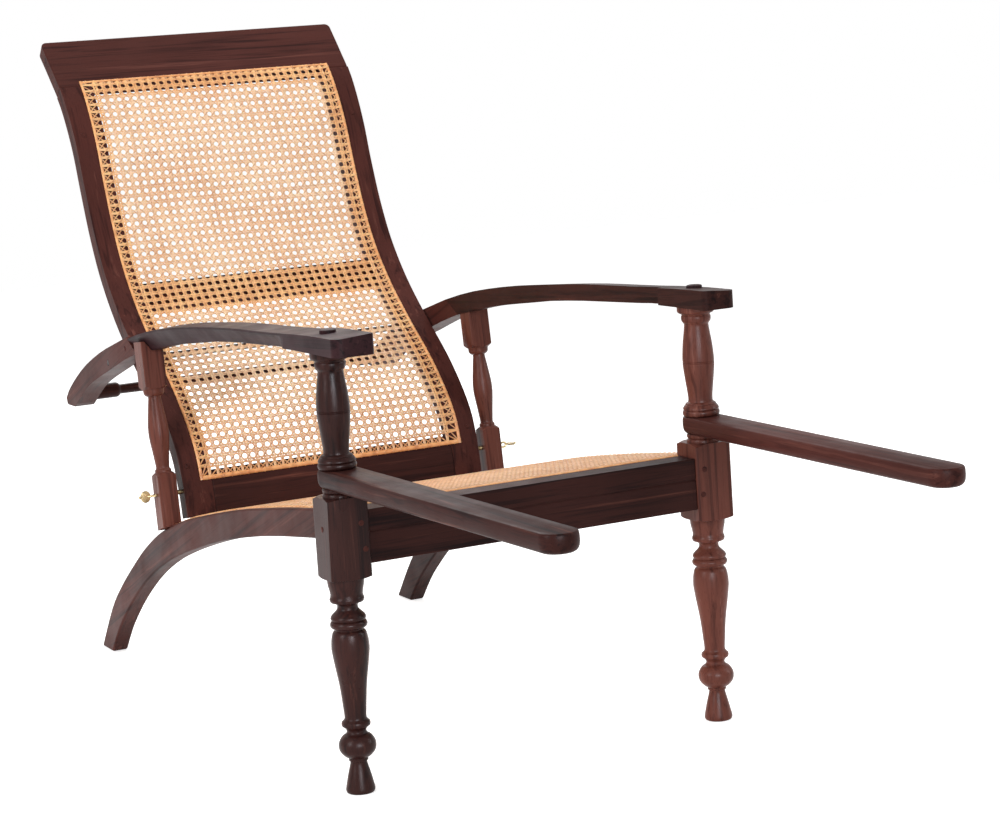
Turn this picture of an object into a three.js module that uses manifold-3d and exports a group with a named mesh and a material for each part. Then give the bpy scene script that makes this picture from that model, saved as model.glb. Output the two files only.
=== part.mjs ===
// Planters chair: turned and sawn hardwood, woven cane seat and reclining cane back, two
// swinging leg rests. Millimetres, Z up. X runs across the chair, positive to the sitter's
// left, Y runs from the front to the back. The floor is at Z = 0.

import * as THREE from 'three';
import * as BufferGeometryUtils from 'three/addons/utils/BufferGeometryUtils.js';
import Module from 'manifold-3d';

const wasm = await Module();
wasm.setup();

// Clearances
const gap = 0.3;
const turningGap = 0.4;
const overrun = 5;

// Front posts
const postSpacing = 554;
const legRadius = 25;
const legTurnedHeight = 290;
const blockWidth = 56;
const blockHeight = 109;
const blockChamfer = 2.5;
const blockWideChamfer = 9;
const shoulderRadius = 31;
const shoulderRise = 8;
const headShoulderDrop = 4;
const footShoulderRise = 2.5;
const collarRadius = 22.5;
const collarHeight = 11.2;
const spindleRadius = 11;

// Leg rests
const restReach = 603;
const restHeelRadius = 27;
const restToeRadius = 25.5;
const restThickness = 24.7;
const rightRestSetback = 7;
const restNose = 8.5;
const rightRestTurn = THREE.MathUtils.degToRad(0.2);
const leftRestTurn = THREE.MathUtils.degToRad(2.1);

// Upper turnings between the leg rests and the arms
const capitalRadius = 26;
const buttonRadius = 10.8;
const buttonDome = 1.2;
const buttonStand = 3;

// Side rails, sawn in one piece with the rear legs
const seatDepth = 691;
const rearFootSpread = 371;
const railDrop = 17.7;
const railSideways = 18.5;
const railThickness = 26.5;
const frontRailThickness = 48;
const frontRailDepth = 72;
const frontRailFlat = 35;
const beadDrop = 28;
const beadWidth = 3.2;
const beadDepth = 2;
const rearRailSetback = 11;
const rearRailThickness = 30;
const rearRailDepth = 24;

// Cane panels
const caneThickness = 2;
const seatCaneMargin = 5;
const seatCaneSetback = 27;
const backCaneMargin = 25.5;
const backCaneInset = 49;
const backCaneDrop = 64;

// Back frame
const pinLift = 54;
const footAheadOfPin = 19;
const footUnderPin = 39;
const backSweep = 526;
const backRise = 739;
const backSideGap = 3;
const stileWidth = 50.5;
const backThickness = 26;
const crestRound = 7;
const frameLap = 19;
const crestLap = 12;
const slatRise = 329;
const slatWidth = 37;
const slatThickness = 12;

// Rear posts
const rearPostSideways = 2;
const lowerBlockWidth = 30;
const lowerBlockRise = 34;
const rearBellyRadius = 15.75;
const rearShoulderRadius = 13.5;
const rearShoulderRise = 6;
const topBlockWidth = 35;
const topBlockHeight = 59;
const topShoulderRadius = 17.5;
const rearRake = THREE.MathUtils.degToRad(6.8);

// Arms
const armRise = 219;
const armFront = 86;
const scarfSetback = 89;
const armInset = 17.5;
const armRearWidth = 33.5;
const armFrontWidth = 45.5;
const armCrown = 3;
const armLip = 6;
const armBevel = 15;
const bevelStart = 92;
const bevelRun = 44;
const paddleWidth = 57.5;
const rightPaddleSetback = 10;
const rightPaddleNarrowing = 6;
const paddleEnd = 52;
const paddleStep = 7;
const paddleInnerRound = 8.5;
const paddleOuterRound = 14;
const scarfSlant = 42;

// Arm tails
const tailRun = 342;
const tailDrop = 141;

// Cross rods between the arm tails
const rodEndRadius = 12.5;
const rodEndLength = 45;
const rodRadius = 8;
const rodShoulder = 4;
const rodTenonRadius = 6;
const rodTenonLength = 18;
const upperRodRadius = 5;

// Brass pins
const pinRadius = 3.6;
const pinHoleGap = 0.4;
const pinDepth = 24;
const eyeHalfLength = 7.6;
const eyeHalfWidth = 6;
const eyeWire = 1.7;
const leafHalfLength = 6.4;
const leafHalfWidth = 9.7;
const leafThickness = 2.6;
const neckRadius = 1.9;
const neckLength = 1.2;
const budRadius = 2.2;

// Wooden pegs
const pegRadius = 4;
const pegDepth = 9;
const pegStand = 0.6;

// Derived places
const half = (value) => value / 2;
const postX = half(postSpacing);
const blockHalf = half(blockWidth);
const blockTop = legTurnedHeight + blockHeight;
const restFoot = blockTop + collarHeight + gap;
const restTop = restFoot + restThickness;
const balusterFoot = restTop + gap + gap;
const railInset = postX - railSideways;
const railOuter = railInset + railThickness;
const railReach = seatDepth + rearFootSpread;
const railRise = blockTop - railDrop;
const pinReach = seatDepth;
const armHeight = blockTop + armRise;
const armRun = armFront + seatDepth + scarfSetback;
const armInner = postX - armInset;
const armOuterRear = armInner + armRearWidth;
const armOuterFront = armInner + armFrontWidth;
const paddleOuter = armOuterFront;
const paddleInner = paddleOuter - paddleWidth;
const backHalfWidth = armInner - backSideGap;
const stileInner = backHalfWidth - stileWidth;
const rearPostOffset = postX + rearPostSideways;
const lowerBlockOuter = rearPostOffset + half(lowerBlockWidth);
const backFootReach = pinReach - footAheadOfPin;

// Turned outline of a front leg, as shares of its radius and of its height
const legProfileShares = [
  [0.744, 0], [0.784, 0.01], [0.768, 0.024], [0.62, 0.083], [0.472, 0.131], [0.448, 0.145],
  [0.52, 0.15], [0.52, 0.162], [0.72, 0.172], [0.928, 0.193], [1, 0.2155], [0.968, 0.238],
  [0.8, 0.262], [0.6, 0.274], [0.528, 0.283], [0.536, 0.293], [0.64, 0.305], [0.768, 0.314],
  [0.768, 0.329], [0.66, 0.338], [0.588, 0.35], [0.608, 0.386], [0.728, 0.5], [0.892, 0.593],
  [1.008, 0.679], [0.984, 0.714], [0.9, 0.745], [0.76, 0.759], [0.78, 0.7655], [0.94, 0.7725],
  [0.996, 0.786], [0.936, 0.798], [0.872, 0.802], [0.944, 0.814], [0.88, 0.8275], [0.62, 0.85],
  [0.556, 0.862], [0.568, 0.876], [0.72, 0.886], [0.896, 0.8915], [0.92, 0.902],
  [0.904, 0.914], [0.976, 0.924], [0.984, 0.979], [0.976, 1],
];

// Turned outline of an upper turning, as shares of its capital's radius and of its height
const balusterProfileShares = [
  [0.946, 0], [0.985, 0.011], [1, 0.031], [0.962, 0.049], [0.923, 0.053], [0.969, 0.06],
  [0.946, 0.079], [0.862, 0.099], [0.823, 0.103], [0.831, 0.109], [0.75, 0.12],
  [0.627, 0.128], [0.612, 0.151], [0.646, 0.21], [0.777, 0.353], [0.846, 0.451],
  [0.854, 0.483], [0.836, 0.487], [0.854, 0.491], [0.836, 0.497], [0.854, 0.501],
  [0.835, 0.555], [0.762, 0.659], [0.646, 0.763], [0.585, 0.822], [0.585, 0.838],
  [0.654, 0.848], [0.754, 0.864], [0.8, 0.887], [0.8, 0.91], [0.762, 0.92], [0.792, 0.933],
  [0.977, 0.949], [1, 0.962], [1, 1],
];

// Turned outline of a rear post, as shares of its belly's radius and of its height
const rearProfileShares = [
  [0.794, 0], [0.794, 0.03], [0.686, 0.045], [0.667, 0.076], [0.8, 0.227], [0.965, 0.394],
  [1, 0.477], [0.965, 0.576], [0.775, 0.758], [0.622, 0.886], [0.622, 0.909],
  [0.857, 0.924], [0.99, 0.947], [1.016, 0.97], [1.048, 1],
];

// Side rail and rear leg, seen from the side: shares of the rail's reach and rise
const railTopShares = [
  [0, 1], [0.028, 0.991], [0.113, 0.96], [0.2025, 0.926], [0.3455, 0.863], [0.4915, 0.7815],
  [0.58, 0.724], [0.674, 0.6425], [0.7505, 0.545], [0.806, 0.456], [0.871, 0.341],
  [0.932, 0.21], [1, 0],
];
const railBottomShares = [
  [0.028, 0.884], [0.113, 0.854], [0.21, 0.818], [0.304, 0.776], [0.415, 0.714],
  [0.527, 0.636], [0.612, 0.5665], [0.664, 0.516], [0.7155, 0.4565], [0.7635, 0.39],
  [0.8145, 0.307], [0.859, 0.2235], [0.9085, 0.1155], [0.949, 0],
];

// Front face of the back frame, seen from the side: shares of its sweep and rise
const backProfileShares = [
  [0, 0], [0.019, 0.07], [0.063, 0.1475], [0.181, 0.2395], [0.35, 0.334], [0.475, 0.411],
  [0.576, 0.495], [0.646, 0.5845], [0.7, 0.682], [0.747, 0.777], [0.821, 0.8715],
  [0.912, 0.94], [1, 1],
];

// Arm, seen from the side: shares of its run and of its height above the floor
const armTopShares = [
  [0, 1], [0.111, 0.997], [0.2725, 0.985], [0.4515, 0.974], [0.619, 0.957], [0.73, 0.943],
  [0.841, 0.924], [0.896, 0.912], [0.939, 0.901], [1, 0.883],
];
const armBottomShares = [
  [0, 0.956], [0.1685, 0.954], [0.2506, 0.948], [0.36, 0.94], [0.455, 0.933], [0.562, 0.922],
  [0.6225, 0.9125], [0.789, 0.886], [0.918, 0.856], [1, 0.832],
];

// Arm tail, seen from the side: shares of its run and of its drop, from the scarf backwards
const tailTopShares = [
  [0.164, 0.1], [0.398, 0.25], [0.655, 0.4645], [0.848, 0.684], [0.953, 0.833],
];
const tailEndShares = [[0.997, 0.9255], [0.985, 0.993], [0.965, 1], [0.871, 1], [0.836, 0.955]];
const tailBottomShares = [
  [0.731, 0.813], [0.626, 0.693], [0.468, 0.565], [0.275, 0.427], [0.0585, 0.268],
];

// Half width of the back, from its foot to its head: shares of its rise and of its half width
const backTaperShares = [[0, 0.985], [0.4, 1], [0.7, 1.004], [0.86, 1.012], [1, 1.026]];

// Places along the paddle's rounded front corners and along the end of the bevel
const roundShares = [0, 0.12, 0.35, 0.65, 1];
const bevelShares = [0, 0.2, 0.5, 0.8, 1];

// Places of the rods in the arm tails: shares of the tail's run and of its thickness
const lowerRodShare = 0.8625;
const lowerRodSeatShare = 0.47;
const upperRodSeatShare = 0.36;

// Places of the pegs, as shares of the piece that carries them
const railPegHeightShares = [0.36, 0.68];
const railPegSideShare = 0.36;
const sidePegHeightShare = 0.62;
const sidePegReachShare = 0.28;
const stilePegShares = [0.105, 0.79];
const stilePegSideShare = 0.3;
const scarfPegReachShare = 0.036;
const scarfPegHeightShare = 0.5;

// Materials
const wood = new THREE.MeshStandardMaterial({ color: 0x3a1d17, roughness: 0.38, metalness: 0 });
const redWood = new THREE.MeshStandardMaterial({ color: 0x53261b, roughness: 0.38, metalness: 0 });
const darkWood = new THREE.MeshStandardMaterial({ color: 0x241413, roughness: 0.34, metalness: 0 });
const cane = new THREE.MeshStandardMaterial({ color: 0xd69a52, roughness: 0.6, metalness: 0 });
const brass = new THREE.MeshStandardMaterial({ color: 0x8a7245, roughness: 0.42, metalness: 1 });

const chair = new THREE.Group();

// Solids and meshes
function toSolid(geometry) {
  const bare = geometry.clone();
  bare.deleteAttribute('normal');
  bare.deleteAttribute('uv');
  const merged = BufferGeometryUtils.mergeVertices(bare, 1e-4);
  return new wasm.Manifold(new wasm.Mesh({
    numProp: 3,
    vertProperties: new Float32Array(merged.attributes.position.array),
    triVerts: new Uint32Array(merged.index.array),
  }));
}

function toGeometry(solid) {
  const mesh = solid.getMesh();
  const geometry = new THREE.BufferGeometry();
  geometry.setAttribute('position', new THREE.BufferAttribute(mesh.vertProperties, 3));
  geometry.setIndex(new THREE.BufferAttribute(mesh.triVerts, 1));
  geometry.computeVertexNormals();
  return geometry;
}

function add(name, shape, material) {
  const geometry = shape instanceof THREE.BufferGeometry ? shape : toGeometry(shape);
  const mesh = new THREE.Mesh(geometry, material);
  mesh.name = name;
  chair.add(mesh);
  return mesh;
}

// A mirrored copy for the other side of the chair
function mirrored(solid) {
  return solid.mirror([1, 0, 0]);
}

function addPair(name, solid, material) {
  add(`${name}_right`, solid, material);
  add(`${name}_left`, mirrored(solid), material);
}

// Turned piece on the Z axis from radius and height pairs
function turned(profile, segments) {
  const points = profile.map(([radius, height]) => new THREE.Vector2(radius, height));
  const geometry = new THREE.LatheGeometry(points, segments);
  geometry.rotateX(half(Math.PI));
  return geometry;
}

function cylinder(radius, from, to, segments) {
  return turned([[0, from], [radius, from], [radius, to], [0, to]], segments);
}

// Outline in the side view, as reach and height pairs, carried across from one X to another
function sideBoard(outline, from, to) {
  const shape = new THREE.Shape(outline.map(([reach, height]) => new THREE.Vector2(reach, height)));
  const geometry = new THREE.ExtrudeGeometry(shape, { depth: to - from, bevelEnabled: false });
  geometry.applyMatrix4(new THREE.Matrix4().makeBasis(
    new THREE.Vector3(0, 1, 0),
    new THREE.Vector3(0, 0, 1),
    new THREE.Vector3(1, 0, 0),
  ));
  geometry.translate(from, 0, 0);
  return geometry;
}

function box(x0, x1, y0, y1, z0, z1) {
  const geometry = new THREE.BoxGeometry(x1 - x0, y1 - y0, z1 - z0);
  geometry.translate(half(x0 + x1), half(y0 + y1), half(z0 + z1));
  return geometry;
}

// Closed skin over a row of equal cross sections
function loft(sections) {
  const count = sections[0].length;
  const positions = sections.flat().flatMap((point) => point.toArray());
  const faces = [];
  for (let row = 0; row + 1 < sections.length; row += 1) {
    for (let k = 0; k < count; k += 1) {
      const a = row * count + k;
      const b = row * count + (k + 1) % count;
      faces.push(a, b, b + count, a, b + count, a + count);
    }
  }
  const last = (sections.length - 1) * count;
  for (let k = 1; k + 1 < count; k += 1) {
    faces.push(0, k + 1, k, last, last + k, last + k + 1);
  }
  const geometry = new THREE.BufferGeometry();
  geometry.setAttribute('position', new THREE.Float32BufferAttribute(positions, 3));
  geometry.setIndex(faces);
  return geometry;
}

// Smooth side-view curve through shares of two lengths, with its height at any reach
function sideCurve(shares, run, rise, reach0, height0, steps) {
  const points = shares.map(([a, b]) => new THREE.Vector2(reach0 + a * run, height0 + b * rise));
  return new THREE.SplineCurve(points).getPoints(steps);
}

function heightAt(curve, reach) {
  let k = 1;
  while (k < curve.length - 1 && curve[k].x < reach) {
    k += 1;
  }
  const start = curve[k - 1];
  const end = curve[k];
  return start.y + (end.y - start.y) * (reach - start.x) / (end.x - start.x);
}

const pairs = (points) => points.map((point) => [point.x, point.y]);

// How far an edge with a rounded corner stands in, at a depth behind the corner's face
function roundInset(radius, depth) {
  const short = Math.max(0, radius - depth);
  return radius - Math.sqrt(radius * radius - short * short);
}

// Curves that several pieces share
const backSteps = 56;
const railTop = sideCurve(railTopShares, railReach, railRise, 0, 0, 52);
const railBottom = sideCurve(railBottomShares, railReach, railRise, 0, 0, 44);
const armTop = sideCurve(armTopShares, armRun, armHeight, -armFront, 0, 44);
const armBottom = sideCurve(armBottomShares, armRun, armHeight, -armFront, 0, 44);
const pinHeight = heightAt(railTop, pinReach) + pinLift;
const lowerBlockTop = pinHeight + lowerBlockRise;
const backFootHeight = pinHeight - footUnderPin;
const backHead = backFootHeight + backRise;
const backCaneFoot = backFootHeight + backCaneInset;
const backCaneHead = backHead - backCaneDrop;
const backCurve = sideCurve(
  backProfileShares, backSweep, backRise, backFootReach, backFootHeight, backSteps * 4,
);
const backTaper = sideCurve(
  backTaperShares, backRise, backHalfWidth, backFootHeight, 0, backSteps,
);
const backHeights = Array.from(
  { length: backSteps - 1 },
  (_, k) => backFootHeight + backRise * (k + 1) / backSteps,
);

// The curve between two reaches
function stretch(curve, from, to) {
  const inner = curve.filter((point) => point.x > from + gap && point.x < to - gap);
  return [
    [from, heightAt(curve, from)],
    ...pairs(inner),
    [to, heightAt(curve, to)],
  ];
}

// Front leg: turned leg, square block, collar and the spindle that the leg rest turns on
function frontLeg() {
  const outline = legProfileShares.map(([a, b]) => [a * legRadius, b * legTurnedHeight]);
  const stem = outline[outline.length - 1][0];
  const profile = [
    [0, 0],
    ...outline,
    [stem, legTurnedHeight + overrun],
    [0, legTurnedHeight + overrun],
  ];
  const upper = [
    [0, blockTop - overrun],
    [collarRadius, blockTop - overrun],
    [collarRadius, blockTop + gap],
    [collarRadius - half(blockChamfer), blockTop + half(collarHeight)],
    [collarRadius, blockTop + collarHeight],
    [spindleRadius, blockTop + collarHeight],
    [spindleRadius, restTop + gap],
    [0, restTop + gap],
  ];
  const h = blockHalf;
  const c = blockChamfer;
  const w = blockWideChamfer;
  const plan = new THREE.Shape([
    new THREE.Vector2(-h + c, -h), new THREE.Vector2(h - w, -h),
    new THREE.Vector2(h, -h + w), new THREE.Vector2(h, h - c),
    new THREE.Vector2(h - c, h), new THREE.Vector2(-h + c, h),
    new THREE.Vector2(-h, h - c), new THREE.Vector2(-h, -h + c),
  ]);
  const block = new THREE.ExtrudeGeometry(plan, { depth: blockHeight, bevelEnabled: false });
  block.translate(0, 0, legTurnedHeight);
  const corner = blockWidth;
  const shoulder = turned([
    [0, legTurnedHeight],
    [shoulderRadius, legTurnedHeight],
    [shoulderRadius + shoulderRise, legTurnedHeight + footShoulderRise],
    [corner, legTurnedHeight + footShoulderRise + overrun + overrun],
    [corner, blockTop - headShoulderDrop - overrun - overrun],
    [shoulderRadius + shoulderRise, blockTop - headShoulderDrop],
    [shoulderRadius, blockTop],
    [0, blockTop],
  ], 28);
  const solid = toSolid(block).intersect(toSolid(shoulder))
    .add(toSolid(turned(profile, 18)))
    .add(toSolid(turned(upper, 18)));
  return solid.translate([postX, 0, 0]);
}

// Pegs go into a face along a direction; the hole is wider and deeper by the gap
function pegAt(place, direction, depth, stand) {
  const turn = new THREE.Quaternion().setFromUnitVectors(new THREE.Vector3(0, 0, 1), direction);
  const matrix = new THREE.Matrix4().compose(place, turn, new THREE.Vector3(1, 1, 1));
  const peg = cylinder(pegRadius, -depth, stand, 12);
  const hole = cylinder(pegRadius + gap, -depth - gap, overrun, 12);
  return { peg: toSolid(peg.applyMatrix4(matrix)), hole: toSolid(hole.applyMatrix4(matrix)) };
}

// Leg rest: long paddle with a round heel on the spindle and a half-round toe
function legRest(setback) {
  const plan = new THREE.Shape();
  plan.absarc(0, 0, restHeelRadius, 0, Math.PI, false);
  const toe = restToeRadius - restReach + setback;
  plan.absarc(0, toe, restToeRadius, Math.PI, 2 * Math.PI, false);
  const geometry = new THREE.ExtrudeGeometry(plan, {
    depth: restThickness - restNose - restNose,
    bevelThickness: restNose,
    bevelSize: restNose,
    bevelOffset: -restNose,
    bevelSegments: 2,
    curveSegments: 11,
  });
  geometry.translate(0, 0, restFoot + restNose);
  const hole = cylinder(
    spindleRadius + turningGap, restFoot - overrun, restTop + overrun, 18,
  );
  return toSolid(geometry).subtract(toSolid(hole));
}

// Upper turning with the tenon that shows as a button on the arm
function baluster() {
  const top = heightAt(armBottom, capitalRadius) - gap;
  const height = top - balusterFoot;
  const outline = balusterProfileShares.map(([a, b]) => [
    a * capitalRadius,
    balusterFoot + b * height,
  ]);
  const buttonTop = heightAt(armTop, 0) + buttonStand;
  const profile = [
    [0, balusterFoot],
    ...outline,
    [buttonRadius, top],
    [buttonRadius, buttonTop - buttonDome],
    [buttonRadius - buttonDome, buttonTop - half(buttonDome)],
    [0, buttonTop],
  ];
  return toSolid(turned(profile, 18)).translate([postX, 0, 0]);
}

// Front board of an arm: cross sections from the front end to beyond the scarf. The right
// arm's front end stands back and is narrower on its outer side.
function armBoard(setback, narrowing) {
  const boardEnd = armRun - armFront;
  const bevelEnd = bevelStart + bevelRun;
  const rows = 12;
  const stations = [
    ...roundShares.map((share) => share * paddleOuterRound + setback - armFront),
    0, paddleEnd, paddleEnd + half(paddleStep), paddleEnd + paddleStep,
    ...bevelShares.map((share) => bevelStart + share * bevelRun),
    ...Array.from({ length: rows }, (_, k) => bevelEnd + (boardEnd - bevelEnd) * (k + 1) / rows),
  ];
  const sections = stations.map((reach) => {
    const along = THREE.MathUtils.clamp(reach / boardEnd, 0, 1);
    const step = THREE.MathUtils.smoothstep(reach, paddleEnd, paddleEnd + paddleStep);
    const depth = reach + armFront - setback;
    const innerEdge = paddleInner + (armInner - paddleInner) * step;
    const inner = innerEdge + roundInset(paddleInnerRound, depth);
    const outerEdge = armOuterFront + (armOuterRear - armOuterFront) * along;
    const slimmed = narrowing * THREE.MathUtils.smoothstep(-reach, -bevelStart, 0);
    const outer = outerEdge - slimmed - roundInset(paddleOuterRound, depth);
    const cut = armBevel * THREE.MathUtils.smoothstep(reach, bevelStart, bevelEnd);
    const top = heightAt(armTop, reach);
    const bottom = heightAt(armBottom, reach);
    return [
      new THREE.Vector3(inner, reach, bottom),
      new THREE.Vector3(inner, reach, top),
      new THREE.Vector3(outer, reach, top - armCrown),
      new THREE.Vector3(outer, reach, top - armLip),
      new THREE.Vector3(outer - cut, reach, bottom),
    ];
  });
  const tenonHole = cylinder(buttonRadius + gap, 0, armHeight + armHeight, 18);
  tenonHole.translate(postX, 0, 0);
  const scarf = sideBoard([
    [boardEnd - scarfSlant, heightAt(armBottom, boardEnd - scarfSlant)],
    [boardEnd - scarfSlant - scarfSlant, 0],
    [boardEnd + scarfSlant, 0],
    [boardEnd + scarfSlant, armHeight],
    [boardEnd + gap, armHeight],
    [boardEnd, heightAt(armTop, boardEnd)],
  ], 0, armHeight);
  return toSolid(loft(sections)).subtract(toSolid(tenonHole)).subtract(toSolid(scarf));
}

// Arm tail in the side view: its top and its underside, both from the scarf backwards
const tailStart = armRun - armFront;
const tailHead = heightAt(armTop, tailStart);
const tailPlace = ([a, b]) => new THREE.Vector2(tailStart + a * tailRun, tailHead - b * tailDrop);
const tailSteps = 12;
const tailTop = new THREE.SplineCurve([
  new THREE.Vector2(tailStart + gap, tailHead),
  ...tailTopShares.map(tailPlace),
]).getPoints(tailSteps);
const tailBottom = new THREE.SplineCurve([
  new THREE.Vector2(tailStart - scarfSlant + gap, heightAt(armBottom, tailStart - scarfSlant)),
  ...[...tailBottomShares].reverse().map(tailPlace),
  tailPlace(tailEndShares[tailEndShares.length - 1]),
]).getPoints(tailSteps);

function tailOutline() {
  return [
    ...pairs(tailTop),
    ...pairs(tailEndShares.map(tailPlace)),
    ...pairs(tailBottom).reverse().slice(1),
  ];
}

// Height of a place in the tail's thickness
function tailSeat(reach, share) {
  const bottom = heightAt(tailBottom, reach);
  return bottom + share * (heightAt(tailTop, reach) - bottom);
}

// Places along the back's front face, with the direction that points out of it
function backPlace(height) {
  let k = 1;
  while (k < backCurve.length - 1 && backCurve[k].y < height) {
    k += 1;
  }
  const start = backCurve[k - 1];
  const end = backCurve[k];
  const t = (height - start.y) / (end.y - start.y);
  const slope = new THREE.Vector2().subVectors(end, start).normalize();
  return {
    point: new THREE.Vector2(start.x + (end.x - start.x) * t, height),
    normal: new THREE.Vector2(-slope.y, slope.x),
  };
}

// Outline of a layer of the back between two heights and two depths behind its front face
function backLayer(from, to, frontDepth, rearDepth) {
  const front = [];
  const rear = [];
  const heights = backHeights.filter((height) => height > from + gap && height < to - gap);
  for (const height of [from, ...heights, to]) {
    const { point, normal } = backPlace(height);
    front.push([point.x - normal.x * frontDepth, point.y - normal.y * frontDepth]);
    rear.push([point.x - normal.x * rearDepth, point.y - normal.y * rearDepth]);
  }
  return [...front, ...rear.reverse()];
}

// A rear post leans back about the pin axis
function rearPostPlace(side) {
  return new THREE.Matrix4()
    .makeTranslation(side * rearPostOffset, pinReach, pinHeight)
    .multiply(new THREE.Matrix4().makeRotationX(-rearRake))
    .multiply(new THREE.Matrix4().makeTranslation(0, 0, -pinHeight));
}

// Rear post: lower block on the side rail, turning, top block under the arm, all raked back
function rearPost() {
  const lower = half(lowerBlockWidth);
  const upper = half(topBlockWidth);
  const topFoot = heightAt(armBottom, pinReach) - topBlockHeight;
  const turnedHeight = topFoot - lowerBlockTop;
  const shoulders = turned([
    [0, 0],
    [topBlockWidth, 0],
    [topBlockWidth, lowerBlockTop - rearShoulderRise - overrun],
    [rearShoulderRadius + rearShoulderRise, lowerBlockTop - rearShoulderRise],
    [rearShoulderRadius, lowerBlockTop],
    [0, lowerBlockTop],
  ], 20);
  const topShoulders = turned([
    [0, topFoot],
    [topShoulderRadius, topFoot],
    [topShoulderRadius + rearShoulderRise, topFoot + rearShoulderRise],
    [topBlockWidth, topFoot + rearShoulderRise + overrun],
    [topBlockWidth, armHeight],
    [0, armHeight],
  ], 20);
  const outline = rearProfileShares.map(([a, b]) => [
    a * rearBellyRadius,
    lowerBlockTop + b * turnedHeight,
  ]);
  const stem = outline[outline.length - 1][0];
  const turning = turned([
    [0, lowerBlockTop - overrun],
    [outline[0][0], lowerBlockTop - overrun],
    ...outline,
    [stem, topFoot + overrun],
    [0, topFoot + overrun],
  ], 16);
  const lowerBlock = toSolid(box(-lower, lower, -lower, lower, 0, lowerBlockTop))
    .intersect(toSolid(shoulders));
  const topBlock = toSolid(box(-upper, upper, -upper, upper, topFoot, armHeight))
    .intersect(toSolid(topShoulders));
  const rough = lowerBlock.add(topBlock).add(toSolid(turning))
    .transform(rearPostPlace(1).elements);
  const near = pinReach - topBlockWidth - topBlockWidth;
  const far = pinReach + topBlockWidth + topBlockWidth;
  const standOff = (curve, lift) => stretch(curve, near, far).map(([y, z]) => [y, z + lift]);
  const space = sideBoard([
    ...standOff(railTop, gap),
    ...standOff(armBottom, -gap).reverse(),
  ], 0, armHeight);
  const hole = cylinder(pinRadius + pinHoleGap, 0, armHeight, 16);
  hole.rotateY(half(Math.PI));
  hole.translate(0, pinReach, pinHeight);
  return rough.intersect(toSolid(space)).subtract(toSolid(hole));
}

// Places of the two rods. The back's stiles lean on the upper one.
const lowerRodReach = tailStart + lowerRodShare * tailRun;
const lowerRodHeight = tailSeat(lowerRodReach, lowerRodSeatShare);

function clearBehindBack(reach, height) {
  const place = new THREE.Vector2(reach, height);
  let nearest = Infinity;
  let clear = 0;
  for (const { y } of backCurve) {
    const { point, normal } = backPlace(y);
    const offset = place.clone().sub(point);
    if (offset.length() < nearest) {
      nearest = offset.length();
      clear = -offset.dot(normal) - backThickness;
    }
  }
  return clear;
}

function upperRodReach() {
  let near = tailStart;
  let far = lowerRodReach;
  for (let k = 0; k < 30; k += 1) {
    const middle = half(near + far);
    if (clearBehindBack(middle, tailSeat(middle, upperRodSeatShare)) < upperRodRadius + gap) {
      near = middle;
    } else {
      far = middle;
    }
  }
  return half(near + far);
}

// Cross rod on the X axis, thick at its ends, with a tenon in each arm tail
function lowerRod() {
  const ends = armInner - gap;
  const sideProfile = [
    [rodTenonRadius, ends + rodTenonLength],
    [rodTenonRadius, ends],
    [rodEndRadius, ends],
    [rodEndRadius, ends - rodEndLength + rodShoulder],
    [rodRadius, ends - rodEndLength],
  ];
  const profile = [
    [0, -ends - rodTenonLength],
    ...sideProfile.map(([radius, x]) => [radius, -x]),
    ...[...sideProfile].reverse(),
    [0, ends + rodTenonLength],
  ];
  const geometry = turned(profile, 18);
  geometry.rotateY(half(Math.PI));
  geometry.translate(0, lowerRodReach, lowerRodHeight);
  return geometry;
}

// Brass pin on the X axis: shank, eye, flat leaf and bud. The eye and the leaf stand at right
// angles to each other.
function brassPin(turn) {
  const eyePlace = lowerBlockOuter + eyeHalfLength + gap;
  const shank = cylinder(pinRadius, backHalfWidth - pinDepth, lowerBlockOuter + eyeWire, 14);
  shank.rotateY(half(Math.PI));
  const eye = new THREE.TorusGeometry(eyeHalfWidth - eyeWire, eyeWire, 6, 16);
  eye.scale(eyeHalfLength / eyeHalfWidth, 1, 1);
  eye.rotateX(half(Math.PI));
  eye.translate(eyePlace, 0, 0);
  const leafPlace = eyePlace + eyeHalfLength + neckLength + leafHalfLength;
  const leaf = new THREE.CylinderGeometry(leafHalfLength, leafHalfLength, leafThickness, 16);
  leaf.scale(1, 1, leafHalfWidth / leafHalfLength);
  leaf.rotateX(half(Math.PI));
  leaf.translate(leafPlace, 0, 0);
  const neck = cylinder(neckRadius, eyePlace + eyeHalfLength - half(eyeWire), leafPlace, 10);
  neck.rotateY(half(Math.PI));
  const bud = new THREE.SphereGeometry(budRadius, 8, 6);
  bud.translate(leafPlace + leafHalfLength + half(budRadius), 0, 0);
  const matrix = new THREE.Matrix4().makeRotationX(turn).setPosition(0, pinReach, pinHeight);
  return toSolid(shank).add(toSolid(eye)).add(toSolid(leaf)).add(toSolid(neck))
    .add(toSolid(bud)).transform(matrix.elements);
}

// Front legs with the pegs of the rail joints
const frontward = new THREE.Vector3(0, -1, 0);
const outward = new THREE.Vector3(1, 0, 0);
let legSolid = frontLeg();
railPegHeightShares.forEach((share, k) => {
  const side = postX - railPegSideShare * blockWidth + k * pegRadius;
  const height = legTurnedHeight + share * blockHeight;
  const joint = pegAt(new THREE.Vector3(side, -blockHalf, height), frontward, pegDepth, pegStand);
  legSolid = legSolid.subtract(joint.hole);
  addPair(`rail_peg_${k + 1}`, joint.peg, redWood);
});
const sidePeg = pegAt(
  new THREE.Vector3(postX + blockHalf, 0, legTurnedHeight + sidePegHeightShare * blockHeight),
  outward, pegDepth, pegStand,
);
legSolid = legSolid.subtract(sidePeg.hole);
addPair('side_peg', sidePeg.peg, redWood);
addPair('front_leg', legSolid, wood);

// Upper turnings
addPair('front_baluster', baluster(), wood);

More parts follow.
